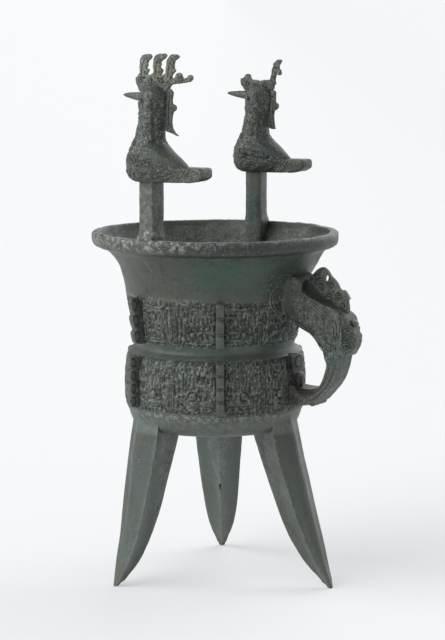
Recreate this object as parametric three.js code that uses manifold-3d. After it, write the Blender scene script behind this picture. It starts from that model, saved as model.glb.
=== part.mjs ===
// Ritual wine warmer: a cast bronze tripod vessel with a flared mouth, two
// decorated registers divided by notched flanges, three blade legs, a beast-head
// handle, and two posts on the rim that each carry a crested bird.
// Millimetres, +Z up, handle towards +X, feet on z = 0.

import * as THREE from 'three';
import { mergeVertices } from 'three/addons/utils/BufferGeometryUtils.js';
import Module from 'manifold-3d';

// ------------------------------------------------------------------ sizes
const SEGMENTS = 48;            // facets round the vessel

const RIM_Z = 430;              // top of the lip
const RIM_R = 152;              // outer radius of the lip
const LIP_THICK = 10;           // lip, measured across its top
const LIP_BAND = 14;            // upright outer edge of the lip
const WALL = 5;                 // wall of the bowl
const WAIST_Z = 290;            // plain groove between the two registers
const WAIST_R = 97.8;
const UPPER_TOP_Z = 355;        // upper register
const UPPER_BOTTOM_Z = 298;
const UPPER_TOP_R = 110.4;
const UPPER_BOTTOM_R = 99.8;
const LOWER_TOP_Z = 283;        // lower register
const LOWER_BOTTOM_Z = 217;
const LOWER_R = 112;
const BASE_Z = 188;             // flat underside
const BASE_R = 88;
const FLOOR_Z = 194;            // floor of the bowl
const NECK_LEAN = 3.5;          // the neck sags a little to one side
const NECK_LEAN_Z = 392;
const NECK_LEAN_AZ = 30;

const FLANGE_AZ = [0, 61, 121, 180, 241, 303];
const FLANGE_THICK = 9;
const FLANGE_NOTCH = 2.6;       // depth of the notches between the hooks
const UPPER_FLANGE = [115.5, 121];     // outer radius at the bottom, at the top
const LOWER_FLANGE = [122, 122.6];
const LOW_FLANGE = [122, 125];         // two of the lower ones, 3 mm shorter

const LEG_AZ = [0, 120, 240];
const LEG_TOP_Z = 203;          // buried in the base moulding
const LEG_FACET_HOLLOW = 1.6;   // dishing of the long facets

const POST_AZ = [-96, 96];
const POST_R = 128;             // centre of a post
const POST_TANGENT = 20;        // across
const POST_RADIAL = 23;         // along the radius
const POST_ROOT_Z = 384;        // where the inner root fades into the wall
const BIRD_BASE_Z = [499, 495];
const BIRD_SCALE = [1, 0.97];

const BIRD_TAIL = 76.5;         // from the post to the end of the tail
const BIRD_TAIL_HALF = 13;
const BIRD_TAIL_TOP = 18;
const BIRD_BEAK_Z = 101;
const BIRD_EYE_Z = 96;
const CREST_THICK = 4;

const STRAP_HALF = 19;          // half width of the handle strap
const HEAD_CREST_THICK = 7;
const SNOUT_HALF = 17;

// ---------------------------------------------------------------- helpers
const wasm = await Module();
wasm.setup();
const RAD = Math.PI / 180;
const lerp = (a, b, t) => a + (b - a) * t;
const smooth = (t) => { const s = Math.min(1, Math.max(0, t)); return s * s * (3 - 2 * s); };

function solidOf(geometry) {
  const g = geometry.clone();
  g.deleteAttribute('normal');
  g.deleteAttribute('uv');
  const merged = mergeVertices(g, 1e-3);
  const pos = merged.attributes.position;
  const tri = [];
  const index = merged.index ? merged.index.array : [...Array(pos.count).keys()];
  for (let i = 0; i < index.length; i += 3) {
    const [a, b, c] = [index[i], index[i + 1], index[i + 2]];
    if (a !== b && b !== c && a !== c) tri.push(a, b, c);
  }
  return new wasm.Manifold(new wasm.Mesh({
    numProp: 3,
    vertProperties: Float32Array.from(pos.array),
    triVerts: Uint32Array.from(tri),
  }));
}

function geometryOf(solid) {
  const mesh = solid.getMesh();
  const g = new THREE.BufferGeometry();
  g.setAttribute('position', new THREE.BufferAttribute(Float32Array.from(mesh.vertProperties), 3));
  g.setIndex(Array.from(mesh.triVerts));
  g.computeVertexNormals();
  return g;
}

// a skin through rings that all have the same number of points, capped flat
function loft(rings) {
  const n = rings[0].length;
  const pos = [];
  const tri = [];
  for (const ring of rings) for (const p of ring) pos.push(p.x, p.y, p.z);
  for (let k = 0; k + 1 < rings.length; k++) {
    for (let i = 0; i < n; i++) {
      const a = k * n + i;
      const b = k * n + ((i + 1) % n);
      tri.push(a, b, b + n, a, b + n, a + n);
    }
  }
  for (const [ring, first, flip] of [[rings[0], 0, true], [rings[rings.length - 1], (rings.length - 1) * n, false]]) {
    const c = ring.reduce((s, p) => s.add(p), new THREE.Vector3()).divideScalar(n);
    const mid = pos.length / 3;
    pos.push(c.x, c.y, c.z);
    for (let i = 0; i < n; i++) {
      const a = first + i;
      const b = first + ((i + 1) % n);
      if (flip) tri.push(mid, b, a); else tri.push(mid, a, b);
    }
  }
  const g = new THREE.BufferGeometry();
  g.setAttribute('position', new THREE.BufferAttribute(Float32Array.from(pos), 3));
  g.setIndex(tri);
  let solid = solidOf(g);
  if (solid.volume() < 0) {
    for (let i = 0; i < tri.length; i += 3) [tri[i], tri[i + 1]] = [tri[i + 1], tri[i]];
    g.setIndex(tri);
    solid = solidOf(g);
  }
  return solid;
}

// a flat plate: its outline lies in an upright plane, (along, up), and
// its thickness is spread evenly to both sides
function plate(outline, thick, toWorld, bevel = 0) {
  const shape = new THREE.Shape(outline.map(([a, b]) => new THREE.Vector2(a, b)));
  const depth = thick - 2 * bevel;
  const g = new THREE.ExtrudeGeometry(shape, {
    depth, steps: 1, bevelEnabled: bevel > 0, bevelSize: bevel, bevelThickness: bevel,
    bevelOffset: -bevel, bevelSegments: 1,
  });
  const p = g.attributes.position;
  for (let i = 0; i < p.count; i++) {
    const v = toWorld(p.getX(i), p.getZ(i) - depth / 2, p.getY(i));
    p.setXYZ(i, v.x, v.y, v.z);
  }
  let solid = solidOf(g);
  if (solid.volume() < 0) {
    const idx = [...Array(p.count).keys()];
    for (let i = 0; i < idx.length; i += 3) [idx[i], idx[i + 1]] = [idx[i + 1], idx[i]];
    g.setIndex(idx);
    solid = solidOf(g);
  }
  return solid;
}

const radial = (az) => (r, t, z) => new THREE.Vector3(
  r * Math.cos(az * RAD) - t * Math.sin(az * RAD),
  r * Math.sin(az * RAD) + t * Math.cos(az * RAD), z);

function table(rows, key) {
  const i = rows.findIndex((row) => row[0] >= key);
  if (i <= 0) return rows[i === 0 ? 0 : rows.length - 1].slice(1);
  const [a, b] = [rows[i - 1], rows[i]];
  const t = (key - a[0]) / (b[0] - a[0]);
  return a.slice(1).map((v, k) => lerp(v, b[k + 1], t));
}

function lean(p) {
  const w = NECK_LEAN * Math.exp(-(((p.z - NECK_LEAN_Z) / 16) ** 2));
  p.x += w * Math.cos(NECK_LEAN_AZ * RAD);
  p.y += w * Math.sin(NECK_LEAN_AZ * RAD);
  return p;
}

function turned(profile) {
  const g = new THREE.LatheGeometry(profile.map(([r, z]) => new THREE.Vector2(r, z)), SEGMENTS);
  g.rotateX(Math.PI / 2);
  const p = g.attributes.position;
  for (let i = 0; i < p.count; i++) {
    const v = lean(new THREE.Vector3(p.getX(i), p.getY(i), p.getZ(i)));
    p.setXYZ(i, v.x, v.y, v.z);
  }
  let solid = solidOf(g);
  if (solid.volume() < 0) {
    const idx = Array.from(g.index.array);
    for (let i = 0; i < idx.length; i += 3) [idx[i], idx[i + 1]] = [idx[i + 1], idx[i]];
    g.setIndex(idx);
    solid = solidOf(g);
  }
  return solid;
}

// --------------------------------------------------------------- the bowl
const outerProfile = [
  [0, BASE_Z], [BASE_R, BASE_Z], [BASE_R + 9.5, BASE_Z + 4], [BASE_R + 15.6, BASE_Z + 12], [BASE_R + 19, BASE_Z + 22],
  [LOWER_R - 2.4, LOWER_BOTTOM_Z - 2], [LOWER_R, LOWER_BOTTOM_Z + 11], [LOWER_R, LOWER_BOTTOM_Z + 33], [LOWER_R - 2.4, LOWER_TOP_Z - 7],
  [LOWER_R - 4, LOWER_TOP_Z], [WAIST_R + 6.6, LOWER_TOP_Z + 3], [WAIST_R + 1, LOWER_TOP_Z + 4.8], [WAIST_R, WAIST_Z],
  [UPPER_BOTTOM_R, UPPER_BOTTOM_Z], [UPPER_BOTTOM_R + 2.8, UPPER_BOTTOM_Z + 6], [UPPER_BOTTOM_R + 5.4, UPPER_BOTTOM_Z + 30],
  [UPPER_TOP_R - 1, UPPER_TOP_Z - 7], [UPPER_TOP_R, UPPER_TOP_Z], [113.2, 370], [116.4, 378], [121, 388],
  [127, 398.5], [132.6, 406], [141.5, 411.8], [RIM_R - 2.6, RIM_Z - LIP_BAND - 1.4], [RIM_R - 0.8, RIM_Z - 11],
  [RIM_R, RIM_Z - 1.5], [RIM_R - 1.5, RIM_Z], [0, RIM_Z],
];
const innerProfile = [
  [0, FLOOR_Z], [76, FLOOR_Z], [92, FLOOR_Z + 4], [100, FLOOR_Z + 13], [LOWER_R - WALL - 1.5, FLOOR_Z + 28],
  [LOWER_R - WALL - 0.3, FLOOR_Z + 60], [LOWER_R - WALL - 2.6, LOWER_TOP_Z - 11], [LOWER_R - WALL - 8, LOWER_TOP_Z - 3],
  [WAIST_R - WALL + 0.6, LOWER_TOP_Z + 3], [WAIST_R - WALL + 1.4, UPPER_BOTTOM_Z],
  [UPPER_BOTTOM_R - WALL + 3.6, UPPER_BOTTOM_Z + 22], [UPPER_TOP_R - WALL - 0.4, UPPER_TOP_Z], [108, 368],
  [117, 388], [125, 402], [134, 414], [RIM_R - LIP_THICK - 2.5, RIM_Z - 7], [RIM_R - LIP_THICK, RIM_Z + 0.01],
  [RIM_R - LIP_THICK, RIM_Z + 30], [0, RIM_Z + 30],
];
const wallRadius = (z) => table(outerProfile.slice(1, -1).map(([r, zz]) => [zz, r]), z)[0];

// ------------------------------------------------------------- the flanges
function flange(az, z0, z1, hooks, [low, high]) {
  const pitch = (z1 - z0) / hooks;
  const edge = (z) => lerp(low, high, (z - z0) / (z1 - z0));
  const outline = [[wallRadius(z1) - 4, z1 - 1.5], [wallRadius(z0) - 4, z0 + 1.5]];
  for (let k = 0; k < hooks; k++) {
    const z = z0 + k * pitch;
    outline.push([edge(z) - FLANGE_NOTCH, z + 0.03 * pitch]);
    outline.push([edge(z), z + 0.22 * pitch]);
    outline.push([edge(z + pitch) + 0.4, z + 0.84 * pitch]);
    if (k + 1 < hooks) outline.push([edge(z + pitch) - FLANGE_NOTCH, z + 0.92 * pitch]);
  }
  outline.push([edge(z1) - 3, z1]);
  return plate(outline, FLANGE_THICK, radial(az));
}

// ---------------------------------------------------------------- the legs
// rows by height: inner ridge, side corners and outer ridge (radii), half width
const LEG_FORM = {
  0: [[0, 158, 163.8, 165, 3.8], [5, 156.4, 163, 164.4, 5.4], [10, 149, 160.5, 161.8, 8], [20, 134, 155, 157.5, 12.6], [33, 121.6, 150, 153.6, 16.8],
    [56, 105, 141.2, 146.4, 21.8], [80, 92.4, 132.4, 140, 25.2], [105, 82, 124, 133, 28.4], [130, 72, 116.6, 126.8, 31],
    [154, 62.8, 108.8, 120, 32.6], [179, 53.8, 102.8, 114.2, 33.4], [LEG_TOP_Z, 48, 98, 107, 32]],
  120: [[0, 148, 153.4, 154.6, 3.6], [5, 145.5, 152.2, 153.8, 5], [10, 136.5, 150, 152, 7.6], [20, 123.5, 145.2, 148.4, 12], [33, 112.6, 140.4, 144.6, 16.6],
    [56, 97.8, 133, 138, 21.2], [80, 86.4, 126, 132, 24], [105, 77, 119.6, 126.6, 26.6], [130, 68.6, 113.4, 122.2, 29],
    [154, 60.4, 107.6, 117.4, 31], [179, 52, 102, 113, 32.4], [LEG_TOP_Z, 47, 98, 107, 31.5]],
  240: [[0, 136, 142.3, 143.6, 3.6], [5, 128, 140.6, 142.4, 6.2], [10, 121, 138.6, 141.2, 8.8], [20, 112.5, 135.1, 138.8, 12.8], [33, 103, 131, 135.8, 17],
    [56, 90.4, 124, 129, 22], [80, 80.4, 119.4, 124.4, 25.6], [105, 72.2, 115, 121, 28.6], [130, 65, 110.2, 118, 31.2],
    [154, 58, 106.2, 115.4, 33], [179, 50.4, 101.6, 112.4, 34], [LEG_TOP_Z, 46, 98, 107, 32.5]],
};
const LEG_SIDESTEP = { 0: [0, 0], 120: [-4, -8.2], 240: [0, 0] };   // offset at the top, at the foot

function leg(az) {
  const put = radial(az);
  const [topStep, footStep] = LEG_SIDESTEP[az];
  const rings = LEG_FORM[az].map(([z, inner, side, outer, half]) => {
    const step = lerp(footStep, topStep, smooth(z / 180));
    const hollow = LEG_FACET_HOLLOW * Math.min(1, half / 20);
    const right = [];
    for (const s of [0, 0.34, 0.68, 1]) {             // outer facet, ridge to corner
      const dish = hollow * 0.5 * Math.sin(Math.PI * s);
      right.push([lerp(outer, side, s) - dish, half * s]);
    }
    for (const s of [0.3, 0.62]) {                     // inner facet, corner to ridge
      const dish = hollow * 1.6 * Math.sin(Math.PI * s);
      right.push([lerp(side, inner, s) + dish * 0.6, half * (1 - s) - dish * 0.8]);
    }
    right.push([inner, 0]);
    const left = right.slice(1, -1).reverse().map(([r, t]) => [r, -t]);
    return [...right, ...left].map(([r, t]) => put(r, t + step, z));
  });
  return loft(rings);
}

// --------------------------------------------------------------- the posts
function post(az, topZ) {
  const put = radial(az);
  const box = (z, rIn, rOut, half) => [
    put(rIn, -half, z), put(rOut, -half, z), put(rOut, half, z), put(rIn, half, z)];
  const rIn = POST_R - POST_RADIAL / 2;
  const rOut = POST_R + POST_RADIAL / 2;
  const h = POST_TANGENT / 2;
  return loft([
    box(POST_ROOT_Z, rIn - 0.8, wallRadius(POST_ROOT_Z) - 2, h - 1), box(POST_ROOT_Z + 12, rIn, wallRadius(POST_ROOT_Z + 12) - 2, h),
    box(RIM_Z - 22, rIn, wallRadius(RIM_Z - 22) - 2, h), box(RIM_Z - 15, rIn, rOut + 1, h), box(RIM_Z - 6, rIn, rOut + 4, h + 0.8),
    box(RIM_Z + 2, rIn, rOut + 4, h + 1.6), box(RIM_Z + 7, rIn, rOut + 1.6, h + 0.6), box(RIM_Z + 16, rIn, rOut, h),
    box(topZ + 3, rIn, rOut, h)]);
}

// --------------------------------------------------------------- the birds
// rows by height: centre, front half length, rear end, half width, rear half width
const BIRD_FORM = [
  [0, 6, 12, -45, 15, 9], [3, 8, 18, -47, 20, 11], [10, 9, 21, -48, 22.5, 12], [17, 9, 22, -47, 23.5, 11],
  [22, 9, 22.4, -42.5, 24, 9], [30, 8, 22, -33, 23.5, 8], [36, 6.5, 21, -26, 22, 8], [41, 5, 20, -21.5, 20.5, 8],
  [46, 3.5, 19, -18.5, 19.2, 8], [51, 2, 18.4, -17, 18.2, 8], [58, 0, 17.7, -17.6, 17.4, 8],
  [68, -1.5, 17.3, -18.8, 17, 8], [78, -2.6, 17.5, -20.2, 17, 8], [88, -3.6, 18, -21.6, 17.5, 8],
  [97, -4, 18.4, -22.6, 18, 8], [104, -4.6, 17.4, -22, 17, 7.5], [109, -5, 14, -19, 13.6, 6],
  [112, -5, 8.6, -13.6, 8, 3.5],
];

// one upright plume: front edge at u0, leaning back, with a hooked tip and a barb
function plume(u0, root, top, back, width, hook, barb) {
  const rise = top - root;
  return [
    [u0, root], [u0 - 0.15 * back, root + 0.5 * rise], [u0 - 0.5 * back, root + 0.84 * rise],
    [u0 - back - 0.3 * width, top - 0.4], [u0 - back - width - 0.45 * hook, top], [u0 - back - width - hook, top - 2.2],
    [u0 - back - width - 0.8 * hook, top - 5], [u0 - back - width, top - 8], [u0 - 0.75 * back - width - barb, root + 0.33 * rise],
    [u0 - 0.4 * back - width, root + 0.14 * rise], [u0 - 0.4 * back - width, root]];
}

function bird(az, baseZ, size, broken) {
  const [cx, cy] = [POST_R * Math.cos(az * RAD), POST_R * Math.sin(az * RAD)];
  const put = (u, v, z) => new THREE.Vector3(cx - u * size, cy + v * size, baseZ + z * size);
  const side = (u, v, z) => put(u, v, z);
  const rings = BIRD_FORM.map(([z, c, front, rear, half, rearHalf]) => {
    const ring = [];
    for (let i = 0; i < 16; i++) {
      const a = (i / 16) * 2 * Math.PI;
      const [ca, sa] = [Math.cos(a), Math.sin(a)];
      if (ca >= 0) ring.push(put(c + front * ca, half * sa, z));
      else ring.push(put(c - (c - rear) * Math.abs(ca) ** 1.15,
        Math.sign(sa) * Math.max(half * Math.abs(sa), Math.abs(sa) < 0.05 ? 0 : rearHalf * Math.min(1, Math.abs(sa) * 2.2)), z));
    }
    return ring;
  });
  let solid = loft(rings);
  const tail = plate([[-12, 0.6], [-60, 0.8], [-69, 2.6], [-BIRD_TAIL, 7], [-BIRD_TAIL, BIRD_TAIL_TOP - 2.6],
    [-BIRD_TAIL + 2.6, BIRD_TAIL_TOP], [-44, BIRD_TAIL_TOP], [-12, BIRD_TAIL_TOP - 2]], 2 * BIRD_TAIL_HALF, side);
  solid = solid.add(tail);
  const beak = broken ? 43 : 38;
  const beakRing = (u, zMid, hz, hv) => [0, 1, 2, 3, 4, 5].map((k) => put(u, hv * Math.sin(k * Math.PI / 3), zMid + hz * Math.cos(k * Math.PI / 3)));
  solid = solid.add(loft([beakRing(6, BIRD_BEAK_Z - 2, 6, 5.4), beakRing(15, BIRD_BEAK_Z - 1.6, 5.2, 4.8),
    beakRing(lerp(15, beak, 0.5), BIRD_BEAK_Z - 0.4, 3.2, 3), beakRing(beak, BIRD_BEAK_Z + 0.6, 1.3, 1.2)]));
  for (const s of [-1, 1]) {                           // round eye on each cheek
    const eye = new THREE.CylinderGeometry(2.4 * size, 3.2 * size, 3 * size, 10);
    if (s < 0) eye.rotateX(Math.PI);
    const at = put(2.5, s * 17.2, BIRD_EYE_Z);
    eye.translate(at.x, at.y, at.z);
    solid = solid.add(solidOf(eye));
  }
  const pieces = [];
  const crestBase = broken
    ? [[23, 113], [22.6, 117.5], [17.4, 118.6], [14.8, 123], [8.8, 123], [8, 117], [-2, 116.6], [-3.4, 114.8],
      [-5, 117], [-17, 117.6], [-26, 118], [-26, 104], [16, 104], [18, 110]]
    : [[20.6, 121.4], [18, 124.5], [14.6, 127.5], [-25, 127.5], [-28, 122.6], [-33, 121.4], [-34.8, 126], [-38, 129.4], [-42, 128.4],
      [-43.6, 124.4], [-44.6, 121.8], [-50, 122.4], [-52.6, 126.4], [-56.6, 126.4], [-57.2, 121.6], [-52, 116.8], [-31, 115.6],
      [-26, 111.8], [-20, 104], [15, 104], [16.6, 110.4], [20, 116]];
  pieces.push(plate(crestBase, CREST_THICK * (broken ? 1.5 : 1.25), side));
  if (broken) {
    pieces.push(plate(plume(-17.8, 114, 146, 11, 4.6, 5, 3.4), CREST_THICK, side));
  } else {
    pieces.push(plate(plume(15.2, 122, 150, 2.4, 9.4, 5.6, 2), CREST_THICK, side));
    pieces.push(plate(plume(-3.4, 122, 151.2, 2.6, 9, 8.4, 3.2), CREST_THICK, side));
    pieces.push(plate(plume(-20.4, 122, 150, 5, 7.4, 7.4, 4), CREST_THICK, side));
  }
  // hanging lock behind the neck, with a round knob and an out-curved end
  const lock = broken
    ? [[-14, 108], [-28, 107], [-29, 101], [-28.6, 90], [-33, 89], [-33, 84], [-30, 81.4], [-26.6, 80], [-25.8, 72], [-27, 60], [-29.4, 56.6], [-26.4, 55.4], [-18, 58], [-14, 66]]
    : [[-14, 110], [-31, 110], [-28.8, 93], [-31, 91.4], [-34, 90.2], [-34.9, 87.2], [-34, 84.4], [-30.6, 83], [-29.2, 79], [-28.6, 69], [-30.2, 61], [-37.8, 54.4], [-30, 57], [-21, 60], [-14, 66]];
  pieces.push(plate(lock, CREST_THICK, side));
  for (const piece of pieces) solid = solid.add(piece);
  return solid;
}

// -------------------------------------------------------------- the handle
// stations along the grip: inner edge (r, z), outer edge (r, z), half width at the outer and at the inner edge
const GRIP = [
  [94, 341, 96, 386, 40, 21], [112, 332, 114, 384, 28.5, 20], [127, 321, 132, 378, 22.4, 19.5],
  [142, 313.5, 153, 362, 20.4, 19.5], [152, 303.5, 172, 347, 19.5, 19.5], [158.6, 294, 184, 333, 19, 19],
  [161, 285, 186, 306, 19, 19], [163.4, 277, 181.5, 284, 18.5, 18.5], [161.2, 268, 177.6, 269, 18.5, 18.5],
  [157, 257, 171.6, 255, 18.5, 18.5], [152.4, 250, 161, 242.5, 18.5, 18.5], [144, 246.4, 149, 230.5, 18.5, 18.5],
  [134, 245.6, 136, 226, 18, 18], [122, 246.4, 122, 225, 16, 16], [112, 250, 111, 226, 13, 13], [103, 254, 103, 229, 11, 11],
];

const HEAD_TOP = [[131, 381], [138, 374.6], [148.3, 365.3], [160.9, 355.8], [170, 348.4], [177, 343.4]];
const SCOOP_FOOT = [[132, 364], [139, 360.4], [148, 356], [158, 351.4], [168, 348.2], [177, 345]];

function handle() {
  const put = radial(0);
  const rings = GRIP.map(([ri, zi, ro, zo, half, halfIn]) => {
    const ring = [];
    const corner = [[0, 0.84], [0.1, 1], [0.9, 1], [1, 0.84]];
    const at = (s, w, side) => put(lerp(ri, ro, s), side * w * lerp(halfIn, half, s), lerp(zi, zo, s));
    for (const [s, w] of corner) ring.push(at(s, w, 1));
    for (const [s, w] of [...corner].reverse()) ring.push(at(s, w, -1));
    return ring;
  });
  let solid = loft(rings);
  // the head is scooped out on both sides of its median crest
  for (const s of [-1, 1]) {
    const rings = HEAD_TOP.map(([r0, z0], i) => {
      const [r1, z1] = SCOOP_FOOT[i];
      const half = lerp(24, 20, smooth((r0 - 128) / 17));
      return [[r0 + 6, 3.6, z0 + 16], [r0, 3.6, z0], [(r0 + r1) / 2, 8.5, 0.36 * z0 + 0.64 * z1 - 1.8], [r1, half - 0.6, z1],
        [r1, half + 14, z1 + 1], [r0 + 6, half + 14, z0 + 16]].map(([r, t, z]) => put(r, s * t, z));
    });
    solid = solid.subtract(loft(rings));
  }
  // muzzle, narrower towards its front, with a small knob on the brow
  const nose = (r, z) => lerp(1, 0.5, smooth((r - 182) / 15)) * lerp(1, 0.4, smooth((z - 328) / 18) * smooth((r - 172) / 6));
  solid = solid.add(plate([[172, 348], [183, 342], [187.6, 336], [190, 331], [193, 325], [196.4, 318], [199, 311], [199, 306],
    [196.4, 299], [191, 292], [185.6, 287], [172, 290], [164, 305], [166, 330]],
  2 * SNOUT_HALF, (r, t, z) => put(r, t * nose(r, z), z), 3));
  solid = solid.add(plate([[184, 331], [190, 333], [195.4, 331], [197.2, 327.6], [194, 324], [186, 324]], 10, put, 1.5));
  // notched crest along the top of the head, pierced once
  const crest = plate([[129, 372], [134, 380], [138.6, 386], [144, 391], [149.6, 394], [154.4, 392], [158.6, 387.6], [160.8, 383.4], [166, 379.6], [171.2, 373.4],
    [172.4, 369.2], [176.4, 366.4], [179.4, 368], [183, 363.4], [186.6, 357.4], [184, 354.8], [185.6, 347.2], [185.4, 339.4], [176, 338], [150, 352], [132, 362]],
  HEAD_CREST_THICK, put);
  const eyelet = new THREE.CylinderGeometry(3.6, 3.6, 4 * HEAD_CREST_THICK, 10);
  eyelet.scale(0.8, 1, 1.25);
  eyelet.rotateY(0.6);
  eyelet.translate(156, 0, 381);
  solid = solid.add(crest.subtract(solidOf(eyelet)));
  for (const s of [-1, 1]) {                           // small round eye on each cheek
    const eye = new THREE.SphereGeometry(4, 9, 6);
    eye.translate(170.5, s * 17, 317);
    solid = solid.add(solidOf(eye));
  }
  // small curl under the lower bend
  const curl = new THREE.CylinderGeometry(4, 4, 2 * STRAP_HALF - 6, 10);
  curl.translate(144, 0, 229.4);
  return solid.add(solidOf(curl));
}

// ------------------------------------------------------------ one casting
let casting = turned(outerProfile);
for (const az of LEG_AZ) casting = casting.add(leg(az));
for (const az of FLANGE_AZ) {
  if (az === 0) {
    casting = casting.add(flange(az, 244, LOWER_TOP_Z, 2, LOWER_FLANGE));
  } else {
    casting = casting.add(flange(az, UPPER_BOTTOM_Z - 1, UPPER_TOP_Z, 3, UPPER_FLANGE));
    const short = az === 61 || az === 180;
    casting = casting.add(flange(az, LOWER_BOTTOM_Z + 3, LOWER_TOP_Z - (short ? 3 : 0), 4, short ? LOW_FLANGE : LOWER_FLANGE));
  }
}
casting = casting.add(handle());
casting = casting.subtract(turned(innerProfile));
POST_AZ.forEach((az, i) => {
  casting = casting.add(post(az, BIRD_BASE_Z[i]));
  casting = casting.add(bird(az, BIRD_BASE_Z[i], BIRD_SCALE[i], i === 1));
});

const bronze = new THREE.MeshStandardMaterial({ color: 0x525b52, roughness: 0.55, metalness: 0.55 });
const geometry = geometryOf(casting);
geometry.computeBoundingBox();
const box = geometry.boundingBox;
geometry.translate(-(box.min.x + box.max.x) / 2, -(box.min.y + box.max.y) / 2, -box.min.z);

const vessel = new THREE.Mesh(geometry, bronze);
vessel.name = 'wine_warmer';

const group = new THREE.Group();
group.add(vessel);

export default group;
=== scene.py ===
import math

import bpy
import bmesh
import numpy as np
from mathutils import Matrix, Vector


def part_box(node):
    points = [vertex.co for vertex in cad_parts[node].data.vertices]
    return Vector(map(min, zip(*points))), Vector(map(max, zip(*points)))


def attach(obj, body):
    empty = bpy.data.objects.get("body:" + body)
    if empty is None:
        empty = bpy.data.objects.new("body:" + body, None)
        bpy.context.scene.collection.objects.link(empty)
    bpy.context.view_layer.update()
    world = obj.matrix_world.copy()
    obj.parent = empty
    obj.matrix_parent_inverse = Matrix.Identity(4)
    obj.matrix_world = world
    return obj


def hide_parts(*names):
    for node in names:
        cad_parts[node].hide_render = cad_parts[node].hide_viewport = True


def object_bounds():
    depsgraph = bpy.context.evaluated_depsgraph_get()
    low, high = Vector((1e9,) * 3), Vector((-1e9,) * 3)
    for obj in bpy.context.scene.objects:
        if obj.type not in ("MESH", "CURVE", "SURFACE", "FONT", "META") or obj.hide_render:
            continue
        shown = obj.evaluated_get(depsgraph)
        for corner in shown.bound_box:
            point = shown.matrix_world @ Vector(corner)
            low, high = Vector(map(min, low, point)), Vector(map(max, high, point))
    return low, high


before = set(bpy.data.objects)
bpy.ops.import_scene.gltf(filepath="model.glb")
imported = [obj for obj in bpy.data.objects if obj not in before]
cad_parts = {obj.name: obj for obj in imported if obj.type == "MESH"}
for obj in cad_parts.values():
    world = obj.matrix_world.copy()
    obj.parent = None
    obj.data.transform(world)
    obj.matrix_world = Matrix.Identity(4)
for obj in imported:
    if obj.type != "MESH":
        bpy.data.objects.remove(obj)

cad_box = [[float(x) for x in c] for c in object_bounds()]

# Everything below is in millimetres round the vessel's own axis, feet on z = 0,
# and is moved into the frame when the mesh is made.
RIM_R = 152.0
NODE = "wine_warmer"
low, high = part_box(NODE)
SHIFT = np.array([low[0] * 1000 + RIM_R, low[1] * 1000 + RIM_R, low[2] * 1000])
RAD = math.pi / 180


# ------------------------------------------------------------------ noise
def _hash(i, j, k, seed):
    n = (i.astype(np.int64) * 73856093) ^ (j.astype(np.int64) * 19349663) ^ (k.astype(np.int64) * 83492791) ^ (seed * 961748927)
    n = (n ^ (n >> 13)) & 0x7FFFFFFF
    n = (n * 1274126177) & 0x7FFFFFFF
    n = n ^ (n >> 15)
    return (n & 0xFFFFFF) / float(0xFFFFFF)


def vnoise(p, size, seed=0):
    """Smooth lattice noise from -1 to 1 at points p, with cells of that size."""
    q = p / size + 137.0
    f = np.floor(q)
    t = q - f
    t = t * t * (3 - 2 * t)
    f = f.astype(np.int64)
    out = 0
    for dx in (0, 1):
        for dy in (0, 1):
            for dz in (0, 1):
                w = (t[..., 0] if dx else 1 - t[..., 0]) * (t[..., 1] if dy else 1 - t[..., 1]) * (t[..., 2] if dz else 1 - t[..., 2])
                out = out + w * _hash(f[..., 0] + dx, f[..., 1] + dy, f[..., 2] + dz, seed)
    return out * 2 - 1


def fbm(p, size, octaves=3, seed=0):
    out, amp, total = 0, 1.0, 0.0
    for o in range(octaves):
        out = out + amp * vnoise(p, size / 2 ** o, seed + 17 * o)
        total += amp
        amp *= 0.55
    return out / total


def step(a, b, x):
    t = np.clip((x - a) / (b - a), 0, 1)
    return t * t * (3 - 2 * t)


# ------------------------------------------------------------ mesh helpers
def _signed(verts, quads, tris):
    v = 0.0
    if len(quads):
        a, b, c, d = (verts[quads[:, i]] for i in range(4))
        v += np.einsum("ij,ij->i", a, np.cross(b, c)).sum() + np.einsum("ij,ij->i", a, np.cross(c, d)).sum()
    if len(tris):
        a, b, c = (verts[tris[:, i]] for i in range(3))
        v += np.einsum("ij,ij->i", a, np.cross(b, c)).sum()
    return v


def make(verts, quads, tris, name):
    verts = np.asarray(verts, float)
    quads = np.asarray(quads, int).reshape(-1, 4)
    tris = np.asarray(tris, int).reshape(-1, 3)
    if _signed(verts - verts.mean(0), quads, tris) < 0:
        quads, tris = quads[:, ::-1], tris[:, ::-1]
    mesh = bpy.data.meshes.new(name)
    mesh.from_pydata(((verts + SHIFT) * 0.001).tolist(), [], quads.tolist() + tris.tolist())
    mesh.update()
    obj = bpy.data.objects.new(name, mesh)
    bpy.context.scene.collection.objects.link(obj)
    return obj


def skin(P, name, loop=False):
    """A closed skin through a grid of rows that each close on themselves. Its ends are capped, or joined to each other."""
    rows, cols = P.shape[:2]
    idx = np.arange(rows * cols).reshape(rows, cols)
    nxt = np.roll(idx, -1, axis=1)
    a, b = (idx, np.roll(idx, -1, axis=0)) if loop else (idx[:-1], idx[1:])
    an, bn = (nxt, np.roll(nxt, -1, axis=0)) if loop else (nxt[:-1], nxt[1:])
    quads = np.stack([a, an, bn, b], -1).reshape(-1, 4)
    verts = P.reshape(-1, 3)
    tris = []
    if not loop:
        for row, order in ((0, 1), (rows - 1, -1)):
            mid = len(verts)
            verts = np.vstack([verts, P[row].mean(0)])
            ring, after = idx[row], nxt[row]
            tris.append(np.stack([np.full(cols, mid), after, ring] if order == 1 else [np.full(cols, mid), ring, after], -1))
        tris = np.vstack(tris)
    return make(verts, quads, tris, name)


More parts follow.
